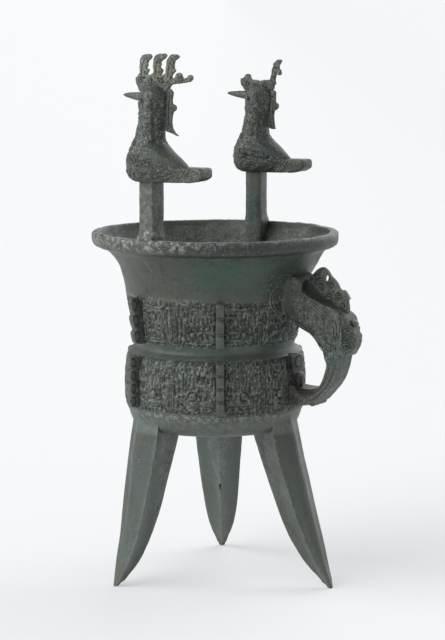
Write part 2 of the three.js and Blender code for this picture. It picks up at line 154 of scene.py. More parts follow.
def normals(P, loop=False):
    """Outward normals of such a grid."""
    du = np.roll(P, -1, 1) - np.roll(P, 1, 1)
    dv = (np.roll(P, -1, 0) - np.roll(P, 1, 0)) if loop else np.gradient(P, axis=0)
    n = np.cross(du, dv)
    n /= np.linalg.norm(n, axis=-1, keepdims=True) + 1e-9
    out = P - P.mean(1, keepdims=True)
    sign = np.sign((n * out).sum(-1).mean())
    return n * (sign if sign else 1)


def radial(az):
    ca, sa = math.cos(az * RAD), math.sin(az * RAD)

    def put(r, t, z):
        r, t, z = np.broadcast_arrays(np.asarray(r, float), np.asarray(t, float), np.asarray(z, float))
        return np.stack([r * ca - t * sa, r * sa + t * ca, z], -1)
    return put


def rounded(points, times=2, keep=()):
    """Cuts the corners of a closed outline so that it runs in curves. The corners in keep stay sharp."""
    pts = [(float(a), float(b), i in keep) for i, (a, b) in enumerate(points)]
    for _ in range(times):
        out = []
        for i, (x, y, k) in enumerate(pts):
            px, py, _k = pts[i - 1]
            nx, ny, _k = pts[(i + 1) % len(pts)]
            if k:
                out.append((x, y, True))
            else:
                out.append((x + 0.25 * (px - x), y + 0.25 * (py - y), False))
                out.append((x + 0.25 * (nx - x), y + 0.25 * (ny - y), False))
        pts = out
    return [(x, y) for x, y, _k in pts]


def plate(outline, thick, put, name, bevel=0.8, holes=()):
    """A flat plate with softened edges. The outline lies in an upright plane and the thickness spreads to both sides."""
    bm = bmesh.new()
    vs = [bm.verts.new((a, 0, b)) for a, b in outline]
    face = bm.faces.new(vs)
    solid = bmesh.ops.extrude_face_region(bm, geom=[face])
    for v in (g for g in solid["geom"] if isinstance(g, bmesh.types.BMVert)):
        v.co.y += thick
    bmesh.ops.recalc_face_normals(bm, faces=bm.faces)
    if bevel:
        rim = [e for e in bm.edges if abs(e.verts[0].co.y - e.verts[1].co.y) < 1e-6]
        bmesh.ops.bevel(bm, geom=rim, offset=bevel, segments=2, profile=0.5, affect="EDGES", clamp_overlap=True)
    bmesh.ops.triangulate(bm, faces=bm.faces)
    bmesh.ops.remove_doubles(bm, verts=bm.verts, dist=1e-4)
    bm.verts.index_update()
    co = np.array([v.co[:] for v in bm.verts])
    tri = np.array([[v.index for v in f.verts] for f in bm.faces if len(f.verts) == 3])
    bm.free()
    world = put(co[:, 0], co[:, 1] - thick / 2, co[:, 2])
    return make(world, [], tri, name)


def ragged(points, gap=1.7, depth=0.5, seed=0):
    """An outline broken into short steps that wander a little, as a corroded edge does."""
    out = []
    for a, b in zip(points, points[1:] + points[:1]):
        n = max(1, int(math.hypot(b[0] - a[0], b[1] - a[1]) / gap + 0.5))
        out += [(a[0] + (b[0] - a[0]) * k / n, a[1] + (b[1] - a[1]) * k / n) for k in range(n)]
    q = np.array(out)
    d = np.roll(q, -1, 0) - np.roll(q, 1, 0)
    d /= np.linalg.norm(d, axis=1)[:, None] + 1e-9
    w = vnoise(np.stack([q[:, 0], q[:, 1], 0 * q[:, 0]], -1), 3.2, seed) * depth
    return [tuple(x) for x in q + np.stack([d[:, 1], -d[:, 0]], -1) * w[:, None]]


def tube(path, radius, name, sides=6, taper=True):
    """A raised cord along a path of points."""
    path = np.asarray(path, float)
    n = len(path)
    tan = np.gradient(path, axis=0)
    tan /= np.linalg.norm(tan, axis=1, keepdims=True) + 1e-9
    ref = np.array([0.31, 0.22, 0.92])
    rows = []
    for i in range(n):
        u = np.cross(tan[i], ref)
        u /= np.linalg.norm(u) + 1e-9
        w = np.cross(tan[i], u)
        r = radius * (min(1.0, 0.35 + 3.0 * min(i, n - 1 - i) / n) if taper else 1.0)
        ang = np.arange(sides) * 2 * math.pi / sides
        rows.append(path[i] + r * (np.cos(ang)[:, None] * u + np.sin(ang)[:, None] * w))
    return skin(np.array(rows), name)


def ball(centre, radii, name, put=None, rows=10, cols=18):
    """An ellipsoid boss. Its radii are along r, t and z where put is given."""
    th = np.linspace(0.12, math.pi - 0.12, rows)[:, None]
    ph = (np.arange(cols) * 2 * math.pi / cols)[None, :]
    a = centre[0] + radii[0] * np.sin(th) * np.cos(ph)
    b = centre[1] + radii[1] * np.sin(th) * np.sin(ph)
    c = centre[2] + radii[2] * np.cos(th) * np.ones_like(ph)
    P = put(a, b, c) if put else np.stack([a, b, c], -1)
    return skin(P, name)


def combine(base, others, operation):
    """Folds the others into base as real solids."""
    if not others:
        return base
    for o in others:
        m = base.modifiers.new("j", "BOOLEAN")
        m.operation = operation
        m.solver = "MANIFOLD"
        m.object = o
    dg = bpy.context.evaluated_depsgraph_get()
    mesh = bpy.data.meshes.new_from_object(base.evaluated_get(dg))
    base.modifiers.clear()
    old = base.data
    base.data = mesh
    bpy.data.meshes.remove(old)
    for o in others:
        data = o.data
        bpy.data.objects.remove(o)
        bpy.data.meshes.remove(data)
    return base


def solid(parts, cuts=()):
    """One solid from overlapping parts, less the cuts."""
    return combine(combine(parts[0], list(parts[1:]), "UNION"), list(cuts), "DIFFERENCE")


def table(rows, x):
    rows = np.asarray(rows, float)
    return np.stack([np.interp(x, rows[:, 0], rows[:, k]) for k in range(1, rows.shape[1])], -1)


def spline(points, count):
    """A smooth run through control rows, Catmull-Rom."""
    p = np.asarray(points, float)
    p = np.vstack([2 * p[0] - p[1], p, 2 * p[-1] - p[-2]])
    t = np.linspace(0, len(p) - 3 - 1e-9, count)
    i = np.floor(t).astype(int)
    f = (t - i)[:, None]
    a, b, c, d = p[i], p[i + 1], p[i + 2], p[i + 3]
    return 0.5 * (2 * b + (c - a) * f + (2 * a - 5 * b + 4 * c - d) * f ** 2 + (3 * b - a - 3 * c + d) * f ** 3)


# ------------------------------------------------------------------- sizes
RIM_Z, LIP_BAND = 430.0, 14.0
UPPER_TOP, UPPER_BOTTOM = 355.0, 298.0
LOWER_TOP, LOWER_BOTTOM = 283.0, 217.0
WAIST_Z, WAIST_R = 290.0, 97.8
BASE_Z, BASE_R, FLOOR_Z = 188.0, 88.0, 194.0
FLANGE_AZ = (0.0, 61.0, 121.0, 180.0, 241.0, 303.0)
POST_R = 128.0
POST_AZ = (-96.0, 96.0)
BIRD_Z = (499.0, 495.0)
BIRD_SIZE = (1.0, 0.97)

OUTER = [
    (0, 188), (60, 188), (84, 188), (88, 188.2), (93, 189.6), (97.5, 192), (101, 195.5), (103.6, 200), (105.6, 205.4), (107, 210),
    (109.6, 215), (110.6, 219), (111.7, 225), (112.2, 236), (112, 250), (111, 266), (109.6, 276), (108.6, 281), (107.6, 284),
    (104.4, 286.2), (99.4, 287.8), (97.9, 290), (98.2, 294), (99.8, 298), (102.6, 304), (104, 316), (105.2, 328), (107.4, 339),
    (109.6, 349), (110.4, 355), (110.7, 359), (111.4, 363), (113.2, 370), (116.4, 378), (121, 388), (127, 398.5), (132.6, 406),
    (137, 409.6), (141.5, 411.8), (146, 413), (149.4, 414.6), (150.8, 417.4), (151.6, 424), (151.8, 428), (151, 429.6), (149.6, 430),
]
INNER = [
    (142.6, 430), (141.4, 429), (139.6, 424), (136.4, 417.6), (131, 409.6), (124, 400.6), (117, 388), (111.4, 377), (107.6, 366),
    (105.4, 352), (100.6, 327), (98.2, 316), (94.6, 298), (93.2, 290), (94.2, 286), (99, 280), (104.4, 272), (106.8, 255),
    (107, 230), (104.6, 217), (99, 206), (92, 198.4), (84, 195), (76, 194), (40, 194), (0, 194),
]


def wall(z):
    rows = [(b, a) for a, b in OUTER[4:41]]
    return np.interp(z, [r[0] for r in rows], [r[1] for r in rows])


def lean(P):
    """The neck sags a little to one side."""
    w = 3.5 * np.exp(-((P[..., 2] - 392) / 16) ** 2)
    Q = P.copy()
    Q[..., 0] += w * math.cos(30 * RAD)
    Q[..., 1] += w * math.sin(30 * RAD)
    return Q


def ring_grid(profile, segs):
    prof = np.asarray(profile, float)
    th = np.arange(segs) * 2 * math.pi / segs
    return np.stack([prof[:, 0:1] * np.cos(th), prof[:, 0:1] * np.sin(th), np.repeat(prof[:, 1:2], segs, 1)], -1)


def refine(profile, gap):
    out = [profile[0]]
    for a, b in zip(profile[:-1], profile[1:]):
        n = max(1, int(math.hypot(b[0] - a[0], b[1] - a[1]) / gap + 0.5))
        for k in range(1, n + 1):
            out.append((a[0] + (b[0] - a[0]) * k / n, a[1] + (b[1] - a[1]) * k / n))
    return out


def az_of(P):
    return np.degrees(np.arctan2(P[..., 1], P[..., 0]))


def az_gap(az, centre):
    return np.abs((az - centre + 180) % 360 - 180)


# -------------------------------------------------------------------- bowl
def bowl():
    outer = [(max(r, 0.6), z) for r, z in OUTER]
    core = []
    for r, z in refine(outer, 7.0):
        if LOWER_BOTTOM + 0.5 < z < LOWER_TOP - 0.5 or UPPER_BOTTOM + 0.5 < z < UPPER_TOP - 0.5:
            r -= 2.2                                    # the patterned sleeves sit over these
        if z > 409:
            r = min(r, 148.0)
            z = min(z, 428.2)
        core.append((r, z))
    inner = [(max(r, 0.6), min(z, 428.2)) for r, z in refine(INNER, 12.0)]
    P = lean(ring_grid(core + inner, 80))
    N = normals(P)
    away = fbm(P, 46, 2, 5)[..., None] * 0.55 + fbm(P, 9, 2, 6)[..., None] * 0.22
    edge = np.ones(len(P))
    edge[0] = edge[-1] = 0
    P = P + N * away * edge[:, None, None] * step(4, 30, np.hypot(P[..., 0], P[..., 1]))[..., None]
    return skin(P, "bowl")


def hollow_core():
    """The room inside the bowl, up to the middle of its wall."""
    mid = [(0.6, 191.2), (84, 191.6), (92, 195), (98.5, 200.6), (102.6, 207), (107, 217), (109.4, 236), (109.4, 255), (107.2, 272), (102.4, 281),
           (96.6, 287), (95.6, 292), (97, 300), (101, 316), (103.4, 329), (107.4, 350), (109.8, 366), (113.6, 378), (118.6, 388), (124, 396), (0.6, 396)]
    return skin(lean(ring_grid(mid, 72)), "core")


def lip():
    loop = [(141.8, 430.2), (144.5, 430.5), (147.4, 430.5), (149.8, 430.1), (151.3, 428.8), (151.9, 426.6), (151.8, 423.6), (151.5, 420.4),
            (151.0, 417.6), (149.9, 415.2), (147.6, 413.6), (144.4, 412.7), (141.0, 411.8), (138.2, 411.6), (137.0, 414.4), (137.4, 418.2), (138.4, 421.6),
            (139.6, 424.8), (140.6, 427.6)]
    P = lean(ring_grid(loop, 200))
    N = normals(P, loop=True)
    az = az_of(P)
    crust = step(62, 26, az_gap(az, -112)) * step(410, 426, P[..., 2])
    wavy = step(26, 8, az_gap(az, 62)) * step(420, 429, P[..., 2])
    d = 0.5 * fbm(P, 14, 2, 3) + 0.45 * fbm(P, 4.5, 2, 4)
    d = d + crust * (0.55 * np.abs(fbm(P, 5.5, 2, 9)) + 0.35 * fbm(P, 3.2, 1, 10))
    d = d + wavy * (1.1 * np.clip(fbm(P, 13, 1, 21), 0, 1))
    d = np.minimum(d, 0.9)
    return skin(P + N * d[..., None], "lip", loop=True)


# ------------------------------------------------------- patterned registers
TILE = np.array([
    [1, 1, 1, 1, 1, 0],
    [1, 0, 0, 0, 1, 0],
    [1, 0, 1, 0, 1, 0],
    [1, 0, 1, 1, 1, 0],
    [1, 0, 0, 0, 0, 0],
    [1, 1, 1, 1, 1, 1]], float)


def thunder(rows, cols):
    """Squared spirals, turned and mirrored from block to block."""
    H = np.zeros((rows, cols))
    for bj in range(0, rows, 6):
        for bi in range(0, cols, 6):
            t = TILE
            k = (bj // 6) * 3 + (bi // 6)
            if k % 2:
                t = t[:, ::-1]
            if (bj // 6 + bi // 6) % 3 == 1:
                t = t[::-1]
            h, w = min(6, rows - bj), min(6, cols - bi)
            H[bj:bj + h, bi:bi + w] = t[:h, :w]
    return H


def register(z0, z1, lower, name):
    half = 35
    rows = int(round((z1 - z0) / 1.65))
    s = np.arange(half + 1) / half                       # 0 at a flange, 1 half way to the next
    zz = np.linspace(z1, z0, rows)
    width = 58.0
    S, Z = np.meshgrid(s * width, z1 - zz)               # mm across, mm down from the top edge
    tall = z1 - z0
    H = thunder(rows, half + 1) - 1.0                    # 0 on ridges, -1 in the sunk lines
    ii = np.arange(half + 1)[None, :] * np.ones((rows, 1))
    jj = np.arange(rows)[:, None] * np.ones((1, half + 1))
    # upright quills: two cells proud, one sunk, broken at staggered heights
    quill = np.where(ii % 3 == 0, -1.0, 0.1)
    gap = _hash((ii // 3).astype(int), (jj // 4).astype(int), np.zeros_like(ii, dtype=int), 7) if lower else np.ones_like(ii)
    quill = np.where((gap < 0.30) & (jj % 4 == 0), -0.9, quill)
    zone = (S > 15) & (Z > 7) & (Z < tall * 0.52) if lower else (S > 22) & (Z > 8) & (Z < tall * 0.5)
    H = np.where(zone, quill, H)
    zone = (S > 44) & (Z > 7) & (Z < tall - 6)
    H = np.where(zone, quill, H)

    def proud(mask, height, line=None):
        nonlocal H
        H = np.where(mask, height, H)
        if line is not None:
            H = np.where(mask & line, height - 1.0, H)

    if lower:
        # curled horn over the eye
        cx, cy = 24.0, 20.0
        r = np.hypot(S - cx, (Z - cy) * 1.1)
        a = np.degrees(np.arctan2(-(Z - cy), S - cx))
        r0 = 9.0 - np.clip((a + 180) / 360, 0, 1) * 3.0
        proud((np.abs(r - r0) < 2.3) & ~((a > -70) & (a < -15)), 0.5, np.abs(r - r0) < 0.7)
        # muzzle beside the flange, jaw hook
        proud((S > 6.5) & (S < 11.5) & (Z > 12) & (Z < 54), 0.4, (np.abs(S - 9.0) < 0.75))
        proud((Z > 52) & (Z < 57) & (S > 9) & (S < 41), 0.4, np.abs(Z - 54.5) < 0.75)
        proud((S > 37) & (S < 42) & (Z > 44) & (Z < 57), 0.4, np.abs(S - 39.5) < 0.75)
        ey, er = (31.9, 42.5), 1.0
    else:
        proud((Z > 9) & (Z < 14) & (S > 8) & (S < 44), 0.4, np.abs(Z - 11.5) < 0.75)
        proud((S > 42) & (S < 47) & (Z > 14) & (Z < 34), 0.4, np.abs(S - 44.5) < 0.75)
        proud((S > 7) & (S < 12) & (Z > 20) & (Z < 50), 0.4, np.abs(S - 9.5) < 0.75)
        proud((Z > 48) & (Z < 52.5) & (S > 10) & (S < 46), 0.4, np.abs(Z - 50.2) < 0.75)
        ey, er = (33.6, 40.5), 0.78
    # nothing is quite straight: the lines were cut by hand and are eaten by corrosion
    r = np.hypot(S - ey[0], Z - ey[1]) / er
    H = np.where(r < 7.6, 0.2, H)
    H = np.where(r < 6.4, -1.0, H)
    H = np.where(r < 4.4, 1.8 * np.sqrt(np.clip(1 - (r / 4.7) ** 2, 0, 1)) + 0.2, H)
    # border: a row of small knobs between two plain lines
    if lower:
        H = np.where(Z < 6.6, -0.9, H)
        dot = ((ii % 4 == 1) | (ii % 4 == 2)) & (Z > 2.2) & (Z < 5.2)
        H = np.where(dot, 0.1, H)
        H = np.where((Z > 6.2) & (Z < 7.6), 0.1, H)
        H = np.where((tall - Z > 1.5) & (tall - Z < 5.6), np.where(ii % 4 < 2, 0.0, -0.9), H)
    H = np.where((tall - Z < 1.6) | (Z < 1.2), 0.15, H)
    H = np.where(S > 57.0, -0.6, H)                      # joint between neighbouring masks
    H = np.where(S < 5.4, -0.6, H)

    full = np.concatenate([H[:, ::-1][:, :-1], H[:, :-1]], 1)   # one mask, -30 to +30 degrees
    cols = full.shape[1]
    P = []
    azs = (np.arange(cols) - (half)) * 30.0 / half
    centres = list(FLANGE_AZ)
    joints = [((centres[k] + centres[(k + 1) % 6] + (360 if k == 5 else 0)) / 2) for k in range(6)]
    allaz = []
    for k in range(6):
        left, mid, right = joints[k - 1] - (360 if k == 0 else 0), centres[k], joints[k]
        allaz.append(np.where(azs < 0, mid + azs / 30.0 * (mid - left), mid + azs / 30.0 * (right - mid)))
    allaz = np.concatenate(allaz)
    HH = np.tile(full, (1, 6))
    jj, ii = np.meshgrid(np.arange(rows), np.arange(HH.shape[1]), indexing="ij")
    where = np.stack([ii * 1.65, jj * 1.65, 0 * ii], -1).astype(float)
    away = np.minimum(ii % cols, cols - 1 - ii % cols)     # cells from a joint between two masks
    calm = np.abs(ii % cols - half) < 4                    # beside the flange
    calm |= np.hypot(np.abs(ii % cols - half) * width / half - ey[0], jj * tall / (rows - 1) - ey[1]) < 8.0
    di = np.where(calm | (away < 3), 0, np.rint(1.3 * vnoise(where, 8.0, 301))).astype(int)
    dj = np.where(calm | (jj < 6) | (jj > rows - 6), 0, np.rint(1.5 * vnoise(where, 9.0, 302))).astype(int)
    HH = HH[np.clip(jj + dj, 0, rows - 1), (ii + di) % HH.shape[1]]
    th = allaz * RAD
    Zg = np.repeat(zz[:, None], len(th), 1)
    base = wall(zz)[:, None] * np.ones((1, len(th)))
    flat = np.stack([base * np.cos(th), base * np.sin(th), Zg], -1)
    worn = 1 - 0.30 * step(0.1, 0.6, fbm(flat, 26, 2, 31)) - 0.2 * step(0.2, 0.6, fbm(flat, 8, 2, 35))
    clog = step(0.25, 0.6, fbm(flat, 11, 2, 33))         # lines choked by corrosion here and there
    # the sunk lines shallower where worn and where choked
    relief = np.where(HH < 0, HH * worn * (1 - 0.5 * clog), HH)
    rr = base - 0.3 + relief * np.where(HH < 0, 1.15, 1.0) + 0.95 * fbm(flat, 3.0, 1, 36) + 0.5 * fbm(flat, 9, 1, 37)
    rr[0] = base[0] - 0.4
    rr[-1] = base[-1] - 0.4
    outer = np.stack([rr * np.cos(th), rr * np.sin(th), Zg], -1)
    back = []
    for z in (z0 + 1.0, (z0 + z1) / 2, z1 - 1.0):
        r = wall(z) - 4.0
        back.append(np.stack([r * np.cos(th), r * np.sin(th), np.full_like(th, z)], -1))
    return skin(np.concatenate([outer, np.array(back)], 0), name, loop=True)


# ----------------------------------------------------------------- flanges
def flange(az, z0, z1, hooks, out0, out1):
    pitch = (z1 - z0) / hooks
    put = radial(az)

    def edge(z):
        return out0 + (out1 - out0) * (z - z0) / (z1 - z0)
    pts = [(float(wall(z1)) - 4, z1 - 1.5), (float(wall(z0)) - 4, z0 + 1.5)]
    for k in range(hooks):
        z = z0 + k * pitch
        pts += [(edge(z) - 3.0, z + 0.04 * pitch), (edge(z) - 0.4, z + 0.14 * pitch), (edge(z + 0.5 * pitch) + 0.2, z + 0.4 * pitch),
                (edge(z + pitch) + 0.6, z + 0.70 * pitch), (edge(z + pitch) - 0.2, z + 0.86 * pitch)]
        if k < hooks - 1:
            pts += [(edge(z + pitch) - 3.0, z + 0.93 * pitch)]
    pts.append((edge(z1) - 3.4, z1))
    body = plate(rounded(pts, 1), 9.2, put, "flange", bevel=0.9)
    cuts = []
    for k in range(hooks):                               # hook lines on both sides of the flange
        z = z0 + (k + 0.5) * pitch
        for s in (-1, 1):
            path = [(edge(z) - 0.6, z + 0.34 * pitch), (edge(z) - 5.4, z + 0.30 * pitch), (edge(z) - 7.4, z), (edge(z) - 5.6, z - 0.28 * pitch), (edge(z) - 2.4, z - 0.2 * pitch)]
            p = spline(path, 9)
            cuts.append(tube(put(p[:, 0], s * 4.7, p[:, 1]), 1.15, "cut", sides=4))
    return solid([body], cuts)


# -------------------------------------------------------------------- legs
LEGS = {
    0: [(0, 158.6, 163.8, 165, 3.4), (5, 154.6, 163, 164.4, 5.2), (10, 148.4, 160.5, 161.8, 8), (20, 134, 155, 157.5, 12.6), (33, 121.6, 150, 153.6, 16.8),
        (56, 105, 141.2, 146.4, 21.8), (80, 92.4, 132.4, 140, 25.2), (105, 82, 124, 133, 28.4), (130, 72, 116.6, 126.8, 31),
        (154, 62.8, 108.8, 120, 32.6), (179, 53.8, 102.8, 114.2, 33.4), (203, 48, 98, 107, 32), (216, 50, 98, 107.4, 31)],
    120: [(0, 148, 153.4, 154.6, 3.6), (5, 145.5, 152.2, 153.8, 5), (10, 136.5, 150, 152, 7.6), (20, 123.5, 145.2, 148.4, 12), (33, 112.6, 140.4, 144.6, 16.6),
          (56, 97.8, 133, 138, 21.2), (80, 86.4, 126, 132, 24), (105, 77, 119.6, 126.6, 26.6), (130, 68.6, 113.4, 122.2, 29),
          (154, 60.4, 107.6, 117.4, 31), (179, 52, 102, 113, 32.4), (203, 47, 98, 107, 31.5), (216, 50, 98, 107.4, 30.5)],
    240: [(0, 136.8, 142.3, 143.6, 3.2), (5, 131, 140.6, 142.4, 5.6), (10, 123.4, 138.6, 141.2, 8.4), (20, 112.5, 135.1, 138.8, 12.8), (33, 103, 131, 135.8, 17),
          (56, 90.4, 124, 129, 22), (80, 80.4, 119.4, 124.4, 25.6), (105, 72.2, 115, 121, 28.6), (130, 65, 110.2, 118, 31.2),
          (154, 58, 106.2, 115.4, 33), (179, 50.4, 101.6, 112.4, 34), (203, 46, 98, 107, 32.5), (216, 50, 98, 107.4, 31.5)],
}
SIDESTEP = {0: (0, 0), 120: (-4, -8.2), 240: (0, 0)}


def leg(az, name):
    zs = np.concatenate([[0, 1.2, 3], np.linspace(5.5, 216, 50)])
    form = table(LEGS[az], zs)
    k = np.ones(5) / 5
    for c in range(4):                                   # ease the bends between the measured heights
        body = form[3:, c]
        form[3:, c] = np.convolve(np.pad(body, 2, mode="edge"), k, mode="valid") * 0.7 + body * 0.3
    put = radial(az)
    s_out = np.linspace(0, 1, 9)
    s_in = np.linspace(0, 1, 13)
    rows = []
    for z, (inner, side, outer, half) in zip(zs, form):
        hollow = 1.6 * min(1, half / 20)
        pts = [(outer + (side - outer) * s - hollow * 0.5 * math.sin(math.pi * s), half * s) for s in s_out]
        pts += [(side + (inner - side) * s + hollow * 0.96 * math.sin(math.pi * s), half * (1 - s) - hollow * 1.28 * math.sin(math.pi * s)) for s in s_in[1:]]
        pts += [(r, -t) for r, t in pts[-2:0:-1]]
        pts = np.array(pts)
        soft = pts * 0.72 + 0.14 * (np.roll(pts, 1, 0) + np.roll(pts, -1, 0))   # worn edges
        a, b = SIDESTEP[az]
        t = min(1, max(0, z / 180))
        off = b + (a - b) * t * t * (3 - 2 * t)
        rows.append(put(soft[:, 0], soft[:, 1] + off, z))
    P = np.array(rows)
    N = normals(P)
    d = 0.45 * fbm(P, 30, 2, 41 + az) + 0.26 * fbm(P, 5.5, 2, 43 + az)
    P = P + N * (d * step(0, 8, zs)[:, None])[..., None]
    P[0, :, 2] = 0
    return skin(P, name)


# ------------------------------------------------------------------- posts
def post(az, top, name):
    put = radial(az)
    rin, rout, h = POST_R - 11.5, POST_R + 11.5, 10.0
    z = np.array([384, 396, 408, 415, 424, 428, 432.5, 437, 441, 446, 456, 470, 485, top + 3.0])
    w = lambda q: float(wall(q))
    ri = np.full(len(z), rin) - np.array([0.8] + [0.0] * (len(z) - 1))
    ro = np.array([w(384) - 2, w(396) - 2, w(408) - 2, rout + 1, rout + 4, rout + 4.4, rout + 3.6, rout + 1.6, rout + 0.6, rout, rout, rout, rout, rout])
    hh = np.array([h - 1, h, h, h, h + 0.8, h + 1.4, h + 1.5, h + 0.6, h + 0.2, h, h, h, h, h])
    zs = np.unique(np.concatenate([z, np.arange(384, top + 2, 3.2)]))
    ri, ro, hh = (np.interp(zs, z, q) for q in (ri, ro, hh))
    c = 0.8
    rows = []
    for k, zz in enumerate(zs):
        a, b, t = ri[k], ro[k], hh[k]
        side = []
        for (r0, t0), (r1, t1) in (((a + c, -t), (b - c, -t)), ((b, -t + c), (b, t - c)), ((b - c, t), (a + c, t)), ((a, t - c), (a, -t + c))):
            for s in np.linspace(0, 1, 4):
                side.append((r0 + (r1 - r0) * s, t0 + (t1 - t0) * s))
        side = np.array(side)
        rows.append(put(side[:, 0], side[:, 1], zz))
    P = np.array(rows)
    N = normals(P)
    return skin(P + N * (0.28 * fbm(P, 11, 2, 51) + 0.14 * fbm(P, 4, 1, 52))[..., None], name)


# ------------------------------------------------------------------- birds
BIRD = [
    (0, 6, 12, -45, 15, 9), (3, 8, 18, -48, 20, 11), (10, 9, 21, -51, 22.5, 12), (17, 9, 22, -52, 23.5, 11),
    (22, 9, 22.4, -47.5, 24, 9), (30, 8, 22, -38, 23.5, 8), (36, 6.5, 21, -30, 22, 8), (41, 5, 20, -24.4, 20.5, 8),
    (46, 3.5, 19, -20.2, 19.2, 8), (51, 2, 18.4, -17, 18.2, 8), (58, 0, 17.7, -17.6, 17.4, 8),
    (68, -1.5, 17.3, -18.8, 17, 8), (78, -2.6, 17.5, -20.2, 17, 8), (88, -3.6, 18, -21.6, 17.5, 8),
    (97, -4, 18.4, -22.6, 18, 8), (104, -4.6, 17.4, -22, 17, 7.5), (109, -5, 14, -19, 13.6, 6), (112, -5, 8.6, -13.6, 8, 3.5),
]
TAIL, TAIL_HALF, TAIL_TOP = 76.5, 13.0, 18.0


def plume(u0, root, top, back, width, hook, barb):
    rise = top - root
    return [
        (u0, root), (u0 - 0.15 * back, root + 0.5 * rise), (u0 - 0.5 * back, root + 0.84 * rise),
        (u0 - back - 0.3 * width, top - 0.2), (u0 - back - width - 0.45 * hook, top), (u0 - back - width - hook, top - 2.4),
        (u0 - back - width - 0.7 * hook, top - 5.6), (u0 - back - width + 1.0, top - 8), (u0 - 0.8 * back - width, root + 0.42 * rise),
        (u0 - 0.75 * back - width - barb, root + 0.34 * rise), (u0 - 0.5 * back - width - 0.5 * barb, root + 0.2 * rise),
        (u0 - 0.4 * back - width + 0.5, root + 0.12 * rise), (u0 - 0.4 * back - width, root)]


